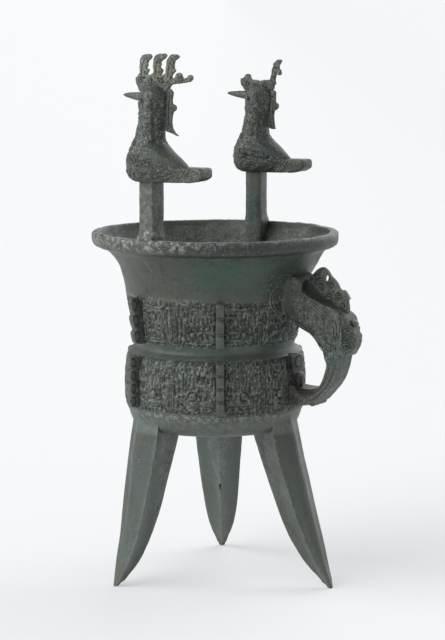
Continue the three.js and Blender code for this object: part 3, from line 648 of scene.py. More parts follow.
def bird(az, base, size, broken):
    cx, cy = POST_R * math.cos(az * RAD), POST_R * math.sin(az * RAD)

    def put(u, v, z):
        u, v, z = np.broadcast_arrays(np.asarray(u, float), np.asarray(v, float), np.asarray(z, float))
        return np.stack([cx - u * size, cy + v * size, base + z * size], -1)

    zs = np.concatenate([np.linspace(0, 20, 13)[:-1], np.linspace(20, 104, 46)[:-1], np.linspace(104, 112.4, 7)])
    form = table(BIRD, np.minimum(zs, 112))
    k = np.ones(5) / 5
    for c in range(5):
        col = form[:, c]
        form[:, c] = np.convolve(np.pad(col, 2, mode="edge"), k, mode="valid") * 0.6 + col * 0.4
    cols = 66
    ang = np.arange(cols) * 2 * math.pi / cols
    ca, sa = np.cos(ang), np.sin(ang)
    U, V = [], []
    for c, front, rear, half, rear_half in form:
        u = np.where(ca >= 0, c + front * ca, c - (c - rear) * np.abs(ca) ** 1.15)
        v = np.where(ca >= 0, half * sa, np.sign(sa) * np.maximum(half * np.abs(sa), rear_half * np.minimum(1, np.abs(sa) * 2.2)))
        U.append(u)
        V.append(v)
    U, V = np.array(U), np.array(V)
    for _ in range(2):
        V = 0.5 * V + 0.25 * (np.roll(V, 1, 1) + np.roll(V, -1, 1))
    Z = np.repeat(zs[:, None], cols, 1)
    # the neck is keeled down each side: full in front, flatter behind the keel
    behind = step(-8, -20, U) * step(40, 50, Z) * step(106, 98, Z)
    V = V * (1 - 0.16 * behind)
    P = put(U, V, Z)
    N = normals(P)
    arc = np.cumsum(np.linalg.norm(np.diff(P, axis=1, prepend=P[:, -1:]), axis=-1), 1)
    arc -= arc[:, cols // 2][:, None]
    # scales on head, neck and breast
    row = np.floor(Z / 4.4)
    fz = Z / 4.4 - row
    fa = (arc / 4.8 + 0.5 * (row % 2)) % 1 - 0.5
    scale = np.clip(1 - (fa * 2) ** 2 - 0.25 * fz, 0, 1) * (1 - 0.55 * fz)
    neck = step(40, 48, Z) * step(106, 100, Z)
    breast = step(-6, 4, U) * step(16, 20, Z) * step(48, 38, Z)
    zone = np.clip(neck + breast, 0, 1)
    d = 0.9 * (scale - 0.45) * zone * (1 - 0.6 * step(0.1, 0.5, fbm(P, 12, 2, 60)))
    d = d + 1.1 * fbm(P, 3.0, 1, 64) * zone
    # wing: smooth near the neck, ribs that fan from the tail's root towards the shoulder
    fan = np.degrees(np.arctan2(Z - 15.0, U + 54.0))
    wing = step(-46, -40, U) * step(6, -2, U) * step(18, 20, Z) * step(46, 38, Z) * step(3, 8, np.abs(V))
    if broken:
        d = d + wing * 0.8 * np.sign(np.sin(fan * 0.72)) * np.abs(np.sin(fan * 0.72)) ** 0.5
    else:
        d = d + wing * 0.9 * np.exp(-((fan - 27) / 2.2) ** 2) + wing * 0.7 * np.exp(-((fan - 13) / 2.0) ** 2)
    # lower edge of the wing, then the feathered band along the base
    d = d - 1.1 * np.exp(-((Z - 17.6) / 0.9) ** 2) * step(-48, -42, U)
    band = step(1.0, 2.2, Z) * step(16.8, 15.6, Z)
    d = d + band * 0.85 * np.sin(2 * math.pi * (U / 6.6 + np.abs(Z - 8.6) / 8.5))
    # keel line down the side of the neck
    d = d + 0.8 * np.exp(-((U + 8.0) / 1.3) ** 2) * step(40, 50, Z) * step(100, 94, Z) - 0.9 * np.exp(-((U + 11.5) / 1.2) ** 2) * step(40, 50, Z) * step(100, 94, Z)
    d = d + 0.35 * fbm(P, 12, 2, 61 + int(az)) + 0.25 * fbm(P, 4, 2, 63)
    taper = np.ones(len(zs))
    taper[[0, -1]] = 0
    P = P + N * (d * size * taper[:, None])[..., None]
    parts = [skin(P, "bird")]

    # tail slab
    us = np.concatenate([np.linspace(-14, -60, 30), np.linspace(-62, -TAIL + 1.2, 6), [-TAIL + 0.3, -TAIL]])
    zb = np.interp(-us, [14, 60, 69, TAIL], [0.6, 0.8, 2.6, 7.0])
    zt = np.interp(-us, [14, 44, TAIL - 3, TAIL - 1.2, TAIL], [TAIL_TOP - 2, TAIL_TOP, TAIL_TOP + 0.2, TAIL_TOP - 0.6, TAIL_TOP - 2.6])
    hw = np.interp(-us, [14, 48, TAIL - 1.4, TAIL], [12.6, TAIL_HALF, TAIL_HALF, TAIL_HALF - 1.4])
    rows = []
    for u, b, t, w in zip(us, zb, zt, hw):
        c = 1.5
        ring = []
        for (v0, z0), (v1, z1), n in (((-w + c, b), (w - c, b), 5), ((w, b + c), (w, t - c), 9), ((w - c, t), (-w + c, t), 6), ((-w, t - c), (-w, b + c), 9)):
            for s in np.linspace(0, 1, n):
                ring.append((v0 + (v1 - v0) * s, z0 + (z1 - z0) * s))
        ring = np.array(ring)
        rows.append(put(u, ring[:, 0], ring[:, 1]))
    T = np.array(rows)
    NT = normals(T)
    lu = (cx - T[..., 0]) / size
    lv = (T[..., 1] - cy) / size
    lz = (T[..., 2] - base) / size
    side = step(10.5, 12, np.abs(lv)) * step(-60, -57, lu) * step(1.0, 2.4, lz) * step(17, 15.4, lz)
    d = side * 0.8 * np.where(((lu * 0.5 + np.abs(lz - 8.6) * 0.55) % 2.6) < 1.3, 1.0, -1.0)
    d = d - 0.8 * np.exp(-((lu + 61) / 0.9) ** 2) * step(10, 12, np.abs(lv))
    d = d + 0.35 * fbm(T, 9, 2, 71)
    T = T + NT * (d * size)[..., None]
    parts.append(skin(T, "tail"))

    # beak, eyes
    tip = 43 if broken else 38
    s = np.linspace(0, 1, 9)[:, None]
    a = (np.arange(12) * math.pi / 6)[None, :]
    bu = 6 + (tip - 6) * s + 0 * a
    rad = np.interp(s[:, 0], [0, 0.28, 0.6, 0.95, 1], [6.2, 5.6, 4.2, 2.2, 1.1])[:, None]
    zc = np.interp(s[:, 0], [0, 0.5, 1], [98.8, 100.2, 101.6])[:, None]
    B = put(bu, rad * np.sin(a) * 0.9, zc + rad * np.cos(a))
    parts.append(skin(B + normals(B) * (0.35 * fbm(B, 5, 2, 66))[..., None], "beak"))
    cuts = []
    for sd in (-1, 1):
        parts.append(ball((4.5, sd * 16.6, 96), (2.6, 2.2, 2.6), "eye", put, 8, 12))
        # shoulder spiral, a second one behind it and small rings along the base
        for c_u, c_z, turns, grow, wide in ((10, 27, 4.2, 0.56, 1.0), (-8, 24, 3.0, 0.5, 0.9), (14, 47, 3.0, 0.46, 0.9), (-24, 24, 2.2, 0.5, 0.8)):
            q = np.linspace(0.6, turns * math.pi, 26)
            rr = 0.6 + grow * q
            su, sz = c_u + rr * np.cos(q), c_z + rr * np.sin(q)
            form_z = table(BIRD, sz)
            inside = np.clip((su - form_z[:, 0]) / np.where(su > form_z[:, 0], form_z[:, 1], form_z[:, 0] - form_z[:, 2]), -0.97, 0.97)
            vv = sd * (form_z[:, 3] * np.sqrt(1 - inside ** 2) + 0.2)
            parts.append(tube(put(su, vv, sz), wide, "curl", sides=5))

    # crest, plumes and the hanging lock
    if broken:
        crest = [(21.4, 112.3), (23.5, 116.6), (22.4, 121.4), (18.4, 121.2), (14.7, 127.0), (9.3, 127.2), (8.4, 121), (4, 119.4), (-3, 119.6), (-5.0, 117.4),
                 (-7, 119.8), (-17, 120.4), (-26, 119.6), (-26, 104), (16, 104), (18.6, 108)]
        plumes = [([(-19.6, 113.3), (-20.0, 118.8), (-23.4, 130.8), (-25.0, 138.6), (-28.6, 145.0), (-34, 147.0), (-38.4, 146.4), (-36.4, 141.9), (-34, 137.4),
                    (-34.8, 134.1), (-37.4, 133.1), (-36.6, 126.5), (-33.0, 126.1), (-30.5, 128.9), (-28.8, 126.5), (-27.6, 119.9), (-29, 112.3)], 4.4)]
        lock = [(-14, 108), (-28, 107), (-29, 101), (-28.6, 90), (-33, 89), (-33, 84), (-30, 81.4), (-26.6, 80), (-25.8, 72), (-27, 60),
                (-29.4, 56.6), (-26.4, 55.4), (-18, 58), (-14, 66)]
    else:
        crest = [(20.6, 121.4), (18, 124.5), (14.6, 127.5), (10, 128.4), (2, 125.0), (-3, 127.6), (-9, 128.2), (-16, 124.8), (-20, 127.6), (-25, 127.5), (-28, 122.6), (-33, 121.4),
                 (-34.8, 126), (-38, 129.4), (-42, 128.4), (-43.6, 124.4), (-44.6, 121.8), (-50, 122.4), (-52.6, 126.4), (-56.8, 126.4), (-57.6, 121.4), (-52, 116.8),
                 (-31, 115.6), (-26, 111.8), (-20, 104), (15, 104), (16.6, 110.4), (20, 116)]
        plumes = [(plume(15.2, 122, 150, 2.4, 9.4, 5.6, 2), 4.0), (plume(-3.4, 122, 151.0, 2.6, 9, 8.4, 3.2), 4.0), (plume(-20.4, 122, 150, 5, 7.4, 7.4, 4), 4.0)]
        lock = [(-14, 110), (-31, 110), (-28.8, 93), (-31, 91.4), (-34, 90.2), (-34.9, 87.2), (-34, 84.4), (-30.6, 83), (-29.2, 79), (-28.6, 69),
                (-30.2, 61), (-37.8, 54.4), (-30, 57), (-21, 60), (-14, 66)]
    parts.append(plate(ragged(rounded(crest, 1), 2.2, 0.7, 3), 6.0 if broken else 5.2, put, "crest", bevel=0.9))
    for k, (outline, thick) in enumerate(plumes):
        parts.append(plate(ragged(rounded(outline, 1), 2.0, 0.8, 11 + k), thick, put, "plume", bevel=0.8))
    parts.append(plate(ragged(rounded(lock, 1, keep=() if broken else (11,)), 2.2, 0.45, 5), 4.0, put, "lock", bevel=0.8))
    # engraved lines and dots on the crest
    for sd in (-1, 1):
        for u0, top in ((9.5, 145), (-9.5, 146), (-27, 145)) if not broken else ((-26.5, 140),):
            path = spline([(u0 + 2.5, 118), (u0 + 2.0, 132), (u0 - 0.5, top - 4), (u0 - 4, top)], 12)
            cuts.append(tube(put(path[:, 0], sd * 2.2, path[:, 1]), 0.9, "cut", sides=4))
            for k in range(3):
                w = 122 + 7 * k
                cuts.append(ball((u0 - 1.6 - k, sd * 2.4, w), (1.3, 1.2, 1.5), "dot", put, 5, 6))
        for u0, z0 in ((13, 119), (-1, 118), (-15, 119), (-42, 120.5)) if not broken else ((12, 114), (0, 111), (-14, 113)):
            q = np.linspace(0, 3.4 * math.pi, 22)
            rr = 0.8 + 0.32 * q
            cuts.append(tube(put(u0 + rr * np.cos(q), sd * (3.1 if broken else 2.7), z0 + rr * np.sin(q)), 0.85, "cut", sides=4))
        path = spline([(-26.6, 104), (-25.6, 90), (-25.4, 76), (-26.4, 64)], 12)
        cuts.append(tube(put(path[:, 0], sd * 2.2, path[:, 1]), 0.85, "cut", sides=4))
        if not broken:                                   # gnawed edges between the plumes
            for u0, z0, r0 in ((4.4, 134, 2.0), (3.6, 127, 1.6), (-14.2, 135, 2.0), (-33, 134, 1.6)):
                cuts.append(ball((u0, 0, z0), (r0 * 0.8, 4.0, r0), "gap", put, 6, 8))
    return solid(parts, cuts)


# ------------------------------------------------------------------ handle
GRIP = [
    (94, 341, 96, 386, 40, 21), (112, 332, 114, 384, 28.5, 20), (127, 321, 132, 378, 22.4, 19.5), (142, 313.5, 153, 362, 20.4, 19.5),
    (152, 303.5, 172, 347, 19.5, 19.5), (158.6, 294, 184, 333, 19, 19), (161, 285, 186, 306, 19, 19), (163.4, 277, 181.5, 284, 18.5, 18.5),
    (161.2, 268, 177.6, 269, 18.5, 18.5), (157, 257, 171.6, 255, 18.5, 18.5), (152.4, 250, 161, 242.5, 18.5, 18.5),
    (144, 246.4, 149, 230.5, 18.5, 18.5), (134, 245.6, 136, 226, 18, 18), (122, 246.4, 122, 225, 16, 16),
    (112, 250, 111, 226, 13, 13), (103, 254, 103, 229, 11, 11),
]


def handle():
    put = radial(0)
    G = spline(GRIP, 88)
    ring = []
    for (s0, w0), (s1, w1), n in (((0.0, 0.88), (0.0, -0.88), 7), ((0.07, -1.0), (0.93, -1.0), 13), ((1.0, -0.86), (1.0, 0.86), 10), ((0.93, 1.0), (0.07, 1.0), 13)):
        for q in np.linspace(0, 1, n):
            ring.append((s0 + (s1 - s0) * q, w0 + (w1 - w0) * q))
    ring = np.array(ring)
    rows = []
    for ri, zi, ro, zo, half, half_in in G:
        w = half_in + (half - half_in) * ring[:, 0]
        rows.append(put(ri + (ro - ri) * ring[:, 0], w * ring[:, 1], zi + (zo - zi) * ring[:, 0]))
    P = np.array(rows)
    N = normals(P)
    along = np.repeat(np.arange(len(G))[:, None], len(ring), 1) / len(G)
    S = np.repeat(ring[None, :, 0], len(G), 0)
    W = np.repeat(ring[None, :, 1], len(G), 0)
    strap = step(0.42, 0.48, along)
    face = step(0.9, 0.97, S) * strap
    cheek = step(0.9, 0.98, np.abs(W))
    d = face * (-1.1 * np.exp(-((np.abs(W) - 0.62) / 0.09) ** 2) - 1.1 * np.exp(-((np.abs(W) - 0.22) / 0.08) ** 2))
    # lines that run along the strap's sides
    d = d + cheek * strap * (-0.9 * np.exp(-((S - 0.28) / 0.07) ** 2) - 0.9 * np.exp(-((S - 0.72) / 0.07) ** 2)) * step(0.97, 0.9, along)
    d = d + cheek * step(0.46, 0.40, along) * step(0.02, 0.08, along) * 1.5 * vnoise(P, 5.0, 80)
    d = d + 0.45 * fbm(P, 16, 2, 81) + 0.3 * fbm(P, 5, 2, 82)
    P = P + N * d[..., None]
    body = skin(P, "grip")
    cuts = []
    # the head is scooped out on both sides of its median crest
    for sd in (-1, 1):
        rows = []
        line = [(131, 381), (138, 374.6), (148.3, 365.3), (160.9, 355.8), (170, 348.4), (177, 343.4)]
        foot = [(132, 364), (139, 360.4), (148, 356), (158, 351.4), (168, 348.2), (177, 345.0)]
        for (r0, z0), (r1, z1) in zip(spline(line, 26), spline(foot, 26)):
            spread = np.interp(r0, [128, 145, 170], [23.6, 20.4, 19.8])
            rows.append([(r0 + 6, 3.2, z0 + 16), (r0, 3.4, z0), (0.78 * r0 + 0.22 * r1, 5.6, 0.70 * z0 + 0.30 * z1 - 0.8), (0.55 * r0 + 0.45 * r1, 9.8, 0.44 * z0 + 0.56 * z1 - 1.2),
                         (0.27 * r0 + 0.73 * r1, 14.8, 0.20 * z0 + 0.80 * z1 - 0.8), (r1, spread - 0.6, z1), (r1, spread + 14, z1 + 1), (r0 + 6, spread + 14, z0 + 16)])
        rows = np.array(rows)
        cuts.append(skin(put(rows[..., 0], sd * rows[..., 1], rows[..., 2]), "scoop"))
    body = solid([body], cuts)

    parts = []
    lobe = [(172, 348), (183, 342), (187.6, 336), (190, 331), (193, 325), (196.4, 318), (199, 311), (199.2, 306),
            (196.4, 299), (191, 292), (185.6, 287), (172, 290), (164, 305), (166, 330)]

    def nose(r, t, z):
        k = step(184, 198, r)
        return put(r, t * (1 - 0.5 * k) * (1 - 0.6 * step(333, 347, z) * step(174, 182, r)), z)
    muzzle = [(a, b) for a, b in rounded(lobe, 2)]
    fine = []
    for (a0, b0), (a1, b1) in zip(muzzle, muzzle[1:] + muzzle[:1]):
        n = max(1, int(math.hypot(a1 - a0, b1 - b0) / 3))
        fine += [(a0 + (a1 - a0) * q / n, b0 + (b1 - b0) * q / n) for q in range(n)]
    rings = []
    centre = np.array([182.0, 314.0])
    for t, k in ((-19.1, 0.84), (-18.2, 0.92), (-16.0, 1.0), (-8, 1.0), (0, 1.0), (8, 1.0), (16.0, 1.0), (18.2, 0.92), (19.1, 0.84)):
        q = centre + (np.array(fine) - centre) * k
        rings.append(nose(q[:, 0], t, q[:, 1]))
    parts.append(skin(np.array(rings), "muzzle"))
    parts.append(plate(rounded([(184, 331), (190, 333), (195.4, 331), (197.4, 327.6), (194, 324), (186, 324)], 1), 10.0, put, "knob", bevel=1.6))
    crest = [(129, 372), (134, 380), (138.6, 386), (144, 391), (149.6, 394), (154.4, 392), (158.6, 387.6), (160.8, 383.4), (166, 379.6), (171.2, 373.4),
             (172.4, 369.2), (176.4, 366.4), (179.4, 368), (183, 363.4), (186.6, 357.4), (184, 354.8), (185.6, 347.2), (185.4, 339.4),
             (176, 338), (150, 352), (132, 362)]
    crest_solid = plate(rounded(crest, 1, keep=(14,)), 7.0, put, "head_crest", bevel=0.9)
    q = np.linspace(0, 2 * math.pi, 13)[:-1]
    hole = np.array([[156 + 2.9 * math.cos(a) + 1.6 * math.sin(a), 380.6 + 4.4 * math.sin(a) - 1.0 * math.cos(a)] for a in q])
    cuts = [skin(np.array([put(hole[:, 0], -12, hole[:, 1]), put(hole[:, 0], 12, hole[:, 1])]), "hole")]
    for sd in (-1, 1):
        for r0, z0, s0, turns, way in ((143, 381, 4.6, 1.7, 1), (149, 370, 4.4, 1.6, -1), (162, 372, 4.4, 1.7, 1), (160, 360, 3.8, 1.5, -1), (173, 360, 4.2, 1.7, 1), (178, 349, 3.6, 1.5, -1)):
            a = np.linspace(0, turns * 2 * math.pi, 26)
            rr = 0.8 + s0 * a / (turns * 2 * math.pi)
            cuts.append(tube(put(r0 + rr * np.cos(way * a), sd * 3.6, z0 + rr * np.sin(way * a)), 0.95, "cut", sides=4))
    parts.append(solid([crest_solid], cuts))
    cuts = []

    def scroll(r0, z0, turns, size, start, way, radius=1.1, side=-1, t0=None):
        a = np.linspace(0, turns * 2 * math.pi, int(16 * turns))
        rr = 0.9 + size * a / (turns * 2 * math.pi)
        r, z = r0 + rr * np.cos(start + way * a), z0 + rr * np.sin(start + way * a)
        t = (18.9 * (1 - 0.5 * step(184, 198, r)) + 0.2) if t0 is None else t0
        return tube(put(r, side * t, z), radius, "scroll", sides=5)

    for sd in (-1, 1):
        # eye bosses, nostril scrolls and muzzle lines
        for r0, z0 in ((155.2, 323.0), (160.4, 322.6)):
            parts.append(ball((r0, sd * 19.4, z0), (1.7, 1.7, 1.7), "eye", put, 6, 9))
        parts.append(scroll(189.6, 301.5, 2.1, 5.6, 2.2, 1, 1.15, sd))
        parts.append(scroll(194.4, 311.5, 1.6, 3.8, 0.4, 1, 1.0, sd))
        parts.append(scroll(191.6, 321.0, 1.3, 3.0, 3.0, -1, 0.9, sd))
        for k in range(3):                               # lines down the muzzle's edge
            p = spline([(179.5 - k * 4.6, 334 - 0.5 * k), (181.2 - k * 4.2, 327), (181.4 - k * 3.8, 318), (178.5 - k * 3.6, 308 - k)], 12)
            parts.append(tube(put(p[:, 0], sd * 19.35, p[:, 1]), 0.95, "line", sides=5))
        # double jaw line along the lower edge of the head, teeth between
        for off in (2.0, 6.4):
            p = spline([(116, 331 + off), (128, 323 + off), (142, 314.6 + off), (151.6, 305 + off), (158 + off * 0.4, 294.6)], 24)
            tt = np.interp(p[:, 0], [112, 127, 142, 152, 160], [21, 20.2, 19.9, 19.8, 19.2])
            parts.append(tube(put(p[:, 0], sd * tt, p[:, 1]), 1.0, "jaw", sides=5))
        for k in range(5):
            r0, z0 = 162 + k * 3.2, 308 - k * 1.6
            cuts.append(tube(put(np.array([r0, r0 + 2.2, r0 + 3.0]), sd * 19.3, np.array([z0 + 3, z0 - 2, z0 - 7])), 0.95, "tooth", sides=4))
        # lines that sweep over the flank from the wall to the cheek
        for k in range(5):
            p = spline([(112, 352 - 5.2 * k), (122, 352 - 5.4 * k), (134, 350 - 5.8 * k), (147 - k, 346.5 - 6.0 * k), (158 - 3 * k, 341 - 6.2 * k)], 22)
            tt = np.interp(p[:, 0], [94, 114, 132, 153, 172], [40, 28.5, 22.4, 20.4, 19.5]) + 0.1
            cuts.append(tube(put(p[:, 0], sd * tt, p[:, 1]), 0.85, "flank", sides=4))
        # curls on the cheek
        for r0, z0, s0, way in ((166, 332, 4.0, 1), (163, 309, 3.4, -1), (153, 314, 3.0, 1), (168, 299, 3.0, 1)):
            t0 = float(np.interp(r0, [120, 133, 150, 160], [24, 20.9, 19.9, 19.5]))
            parts.append(scroll(r0, z0, 1.7, s0, 1.0, way, 0.95, sd, t0))
        # horn that lies on the wall beside the head
        for k, (lift, fat) in enumerate(((0, 1.4), (7, 1.1))):
            a = np.linspace(0, 1, 6)
            azs = np.interp(a, [0, 0.3, 0.7, 1], [14, 22, 24.5, 17]) - 2.2 * k
            zz = np.interp(a, [0, 0.3, 0.7, 1], [338, 344, 362, 374 - lift * 0.5])
            q = spline(np.stack([azs, zz], 1), 30)
            rr = wall(q[:, 1]) + 0.2
            horn = np.stack([rr * np.cos(sd * q[:, 0] * RAD), rr * np.sin(sd * q[:, 0] * RAD), q[:, 1]], -1)
            parts.append(tube(horn, fat, "horn", sides=7))
    # small curl under the bend
    q = np.linspace(0, 2 * math.pi, 13)[:-1]
    parts.append(skin(np.array([put(144 + 4 * np.cos(q), t, 229.4 + 4 * np.sin(q)) for t in np.linspace(-16, 16, 6)]), "under_curl"))
    return solid([body] + parts, cuts + [hollow_core()])


# --------------------------------------------------------------- one casting
adds = [lip(), register(UPPER_BOTTOM, UPPER_TOP, False, "upper"), register(LOWER_BOTTOM, LOWER_TOP, True, "lower")]
adds.append(solid([leg(az, f"leg_{az}") for az in (0, 120, 240)], [hollow_core()]))
flanges = [flange(0, 244, 287, 2, 122, 122.6)]
for az in FLANGE_AZ[1:]:
    flanges.append(flange(az, UPPER_BOTTOM - 1, UPPER_TOP, 3, 115.5, 121))
    flanges.append(flange(az, LOWER_BOTTOM + 3, LOWER_TOP - (3 if az in (61, 180) else 0), 4, 122, 125 if az in (61, 180) else 122.6))
adds.append(solid(flanges))
adds.append(handle())
for i in (0, 1):
    adds.append(solid([bird(POST_AZ[i], BIRD_Z[i], BIRD_SIZE[i], i == 1), post(POST_AZ[i], BIRD_Z[i], "post")]))
# corrosion hollow on the lip
cuts = [ball((149, 0, 431.5), (6, 9, 3.6), "pit", radial(233)), ball((83.4, -6.0, 92), (2.6, 2.0, 5.4), "flaw", radial(120), 6, 10)]

casting = bowl()
casting.name = "bronze_casting"
solid([casting] + adds, cuts)
casting.data.name = "bronze_casting"


def drop_crumbs(obj):
    bm = bmesh.new()
    bm.from_mesh(obj.data)
    bm.verts.ensure_lookup_table()
    seen = np.zeros(len(bm.verts), bool)
    islands = []
    for v in bm.verts:
        if seen[v.index]:
            continue
        seen[v.index] = True
        island, front = [v], [v]
        while front:
            w = front.pop()
            for e in w.link_edges:
                o = e.other_vert(w)
                if not seen[o.index]:
                    seen[o.index] = True
                    island.append(o)
                    front.append(o)
        islands.append(island)
    islands.sort(key=len)
    for island in islands[:-1]:
        bmesh.ops.delete(bm, geom=island, context="VERTS")
    bm.to_mesh(obj.data)
    bm.free()
    return [len(island) for island in islands[:-1]]


print("crumbs", drop_crumbs(casting))
print("triangles", sum(len(p.vertices) - 2 for p in casting.data.polygons))


# ------------------------------------------------------- surface attributes
BIRD_WING_X = (-8.0,)
POST_FRONT = POST_R * math.cos(96 * RAD) + 8.0          # x of the keel line down the birds' necks


def paint(obj):
    me = obj.data
    n = len(me.vertices)
    co = np.empty(n * 3)
    me.vertices.foreach_get("co", co)
    co = co.reshape(-1, 3) * 1000 - SHIFT
    no = np.empty(n * 3)
    me.vertices.foreach_get("normal", no)
    no = no.reshape(-1, 3)
    e = np.empty(len(me.edges) * 2, np.int32)
    me.edges.foreach_get("vertices", e)
    e = e.reshape(-1, 2)
    d = co[e[:, 1]] - co[e[:, 0]]
    length = np.linalg.norm(d, axis=1) + 0.15
    lift = np.zeros(n)
    count = np.zeros(n)
    np.add.at(lift, e[:, 0], (d * no[e[:, 0]]).sum(1) / length)
    np.add.at(lift, e[:, 1], -(d * no[e[:, 1]]).sum(1) / length)
    np.add.at(count, e[:, 0], 1)
    np.add.at(count, e[:, 1], 1)
    lift /= np.maximum(count, 1)
    for _ in range(1):
        near = np.zeros(n)
        np.add.at(near, e[:, 0], lift[e[:, 1]])
        np.add.at(near, e[:, 1], lift[e[:, 0]])
        lift = 0.6 * lift + 0.4 * near / np.maximum(count, 1)
    # sunk: how deep a point lies in a hollow; it darkens the colour as soil in the lines and as painted shade
    sunk = np.clip(lift * 2.4, 0, 1)
    worn = np.clip(-lift * 2.4, 0, 1)
    az = np.degrees(np.arctan2(co[:, 1], co[:, 0]))
    r = np.hypot(co[:, 0], co[:, 1])
    z = co[:, 2]
    # patterned registers: depth below the ridges
    base = wall(z)
    inband = (((z > UPPER_BOTTOM) & (z < UPPER_TOP)) | ((z > LOWER_BOTTOM) & (z < LOWER_TOP))) & (r > base - 3) & (r < base + 2.6)
    depth = 0.85 * np.clip((base - 0.35 - r) / 1.1, 0, 1)
    sunk = np.where(inband, np.maximum(sunk * 0.6, depth), sunk)
    worn = np.where(inband, np.clip((r - base + 0.35) / 0.5, 0, 1) * 0.8, worn)
    grain = inband.astype(float)
    grain = np.maximum(grain, step(499, 505, z))
    grain = np.maximum(grain, 0.38 * step(186, 176, z) * step(-0.1, 0.5, fbm(co, 34, 2, 401)))
    grain = np.maximum(grain, 0.30 * step(404, 410, z))
    grain = np.maximum(grain, step(116, 122, co[:, 0]) * step(222, 226, z) * step(404, 396, z) * step(64, 60, np.abs(co[:, 1])))
    # painted shade of the hollow beside the head's crest
    hollow = step(124, 131, co[:, 0]) * step(182, 176, co[:, 0]) * step(3.6, 4.6, np.abs(co[:, 1])) * step(-0.5, 1.5, z - np.interp(co[:, 0], [131, 139, 148, 158, 168, 177], [364, 360.4, 356, 351.4, 348.2, 345])) * step(402, 396, z)
    sunk = np.maximum(sunk, 0.25 * hollow)
    curl = np.maximum(step(499, 505, z) * step(620, 612, z), step(116, 122, co[:, 0]) * step(300, 306, z) * step(404, 396, z) * step(64, 60, np.abs(co[:, 1]))) * (1 - hollow)
    smooth_wing = step(515, 520, z) * step(545, 538, z) * step(BIRD_WING_X[0], BIRD_WING_X[0] + 8, co[:, 0])
    curl = curl * (1 - 0.75 * smooth_wing)
    grain = grain * (1 - 0.7 * smooth_wing)
    grain = grain * (1 - hollow) * (1 - 0.45 * step(104, 112, co[:, 0]) * step(499, 495, z))
    beside = step(34, 24, az_gap(az, 0)) * step(352, 358, z) * step(394, 384, z) * (r < base + 3)
    curl = np.maximum(np.maximum(curl, 0.4 * inband), 0.7 * beside)
    grain = np.maximum(grain, 0.6 * beside)
    inside = step(404, 410, z) * (r < 139.5) * (z < 431) + (z < 404) * (r < base - 3.5)
    grain = np.maximum(grain, 0.7 * np.clip(inside, 0, 1))
    fold = np.interp(co[:, 0], [118, 123, 129, 136, 143, 152], [250.5, 245, 240, 238.6, 240.6, 243])
    root = step(156, 144, co[:, 0]) * step(104, 110, co[:, 0]) * step(fold - 4.5, fold - 0.5, z) * step(264, 258, z) * step(24, 22, np.abs(co[:, 1])) * (r > base + 0.8)
    light = np.zeros(n)
    bird_near = step(499, 505, z) * (co[:, 1] < 0)
    bird_front = step(499, 505, z) * step(POST_FRONT - 2.0, POST_FRONT - 6.0, co[:, 0])
    # painted light: the birds' fronts, which face the light from the left, lighter, the near bird's most
    light = np.maximum(light, (0.3 + 0.6 * (co[:, 1] < 0)) * bird_front * step(532, 550, z))
    light = np.maximum(light, 0.32 * inband)
    # painted light: the near side of the near bird's crest and plumes lighter
    light = np.maximum(light, 0.30 * bird_near * step(612, 618, z))
    shade = np.zeros(n)
    # painted shade: the near bird's neck darker behind its keel line, where the light leaves it
    keel_back = step(POST_FRONT - 3.0, POST_FRONT + 2.5, co[:, 0]) * step(540, 552, z) * step(606, 600, z)
    shade = np.maximum(shade, 0.5 * keel_back * (co[:, 1] < 0))
    # painted light: the base moulding lighter all round, as with light thrown up from the floor
    light = np.maximum(light, 0.5 * step(186, 190, z) * step(214, 208, z) * step(86, 90, r))
    # painted highlight: the plain waist lighter all round
    light = np.maximum(light, 0.8 * step(284, 288, z) * step(298, 293, z) * step(95, 97, r) * (r < 112))
    head_side = step(92, 104, co[:, 0]) * step(178, 160, co[:, 0]) * step(296, 304, z) * step(404, 396, z) * step(64, 60, np.abs(co[:, 1])) * (r > base + 2)
    # painted shade: the flanks of the handle's head darker towards the wall
    shade = np.maximum(shade, 0.60 * head_side * step(152, 120, co[:, 0]))
    # painted shade: the wall around the handle's head darker
    shade = np.maximum(shade, 0.35 * beside)
    shade = np.maximum(shade, 0.62 * hollow)
    # painted shade: the far bird's lower rear body darker
    shade = np.maximum(shade, 0.35 * step(499, 503, z) * step(548, 540, z) * (co[:, 1] > 0) * step(-20, 0, co[:, 0]))
    # painted shade: the legs darker towards their tops under the bowl, and the bowl's underside darker
    shade = np.maximum(shade, 0.30 * step(90, 186, z) * step(192, 186, z) * step(20, 60, r))
    # painted shade: the handle's lower end and the wall beneath its bend darker
    shade = np.maximum(shade, 0.50 * step(132, 124, co[:, 0]) * step(106, 110, co[:, 0]) * step(240, 236, z) * step(222, 225, z) * step(24, 22, np.abs(co[:, 1])))
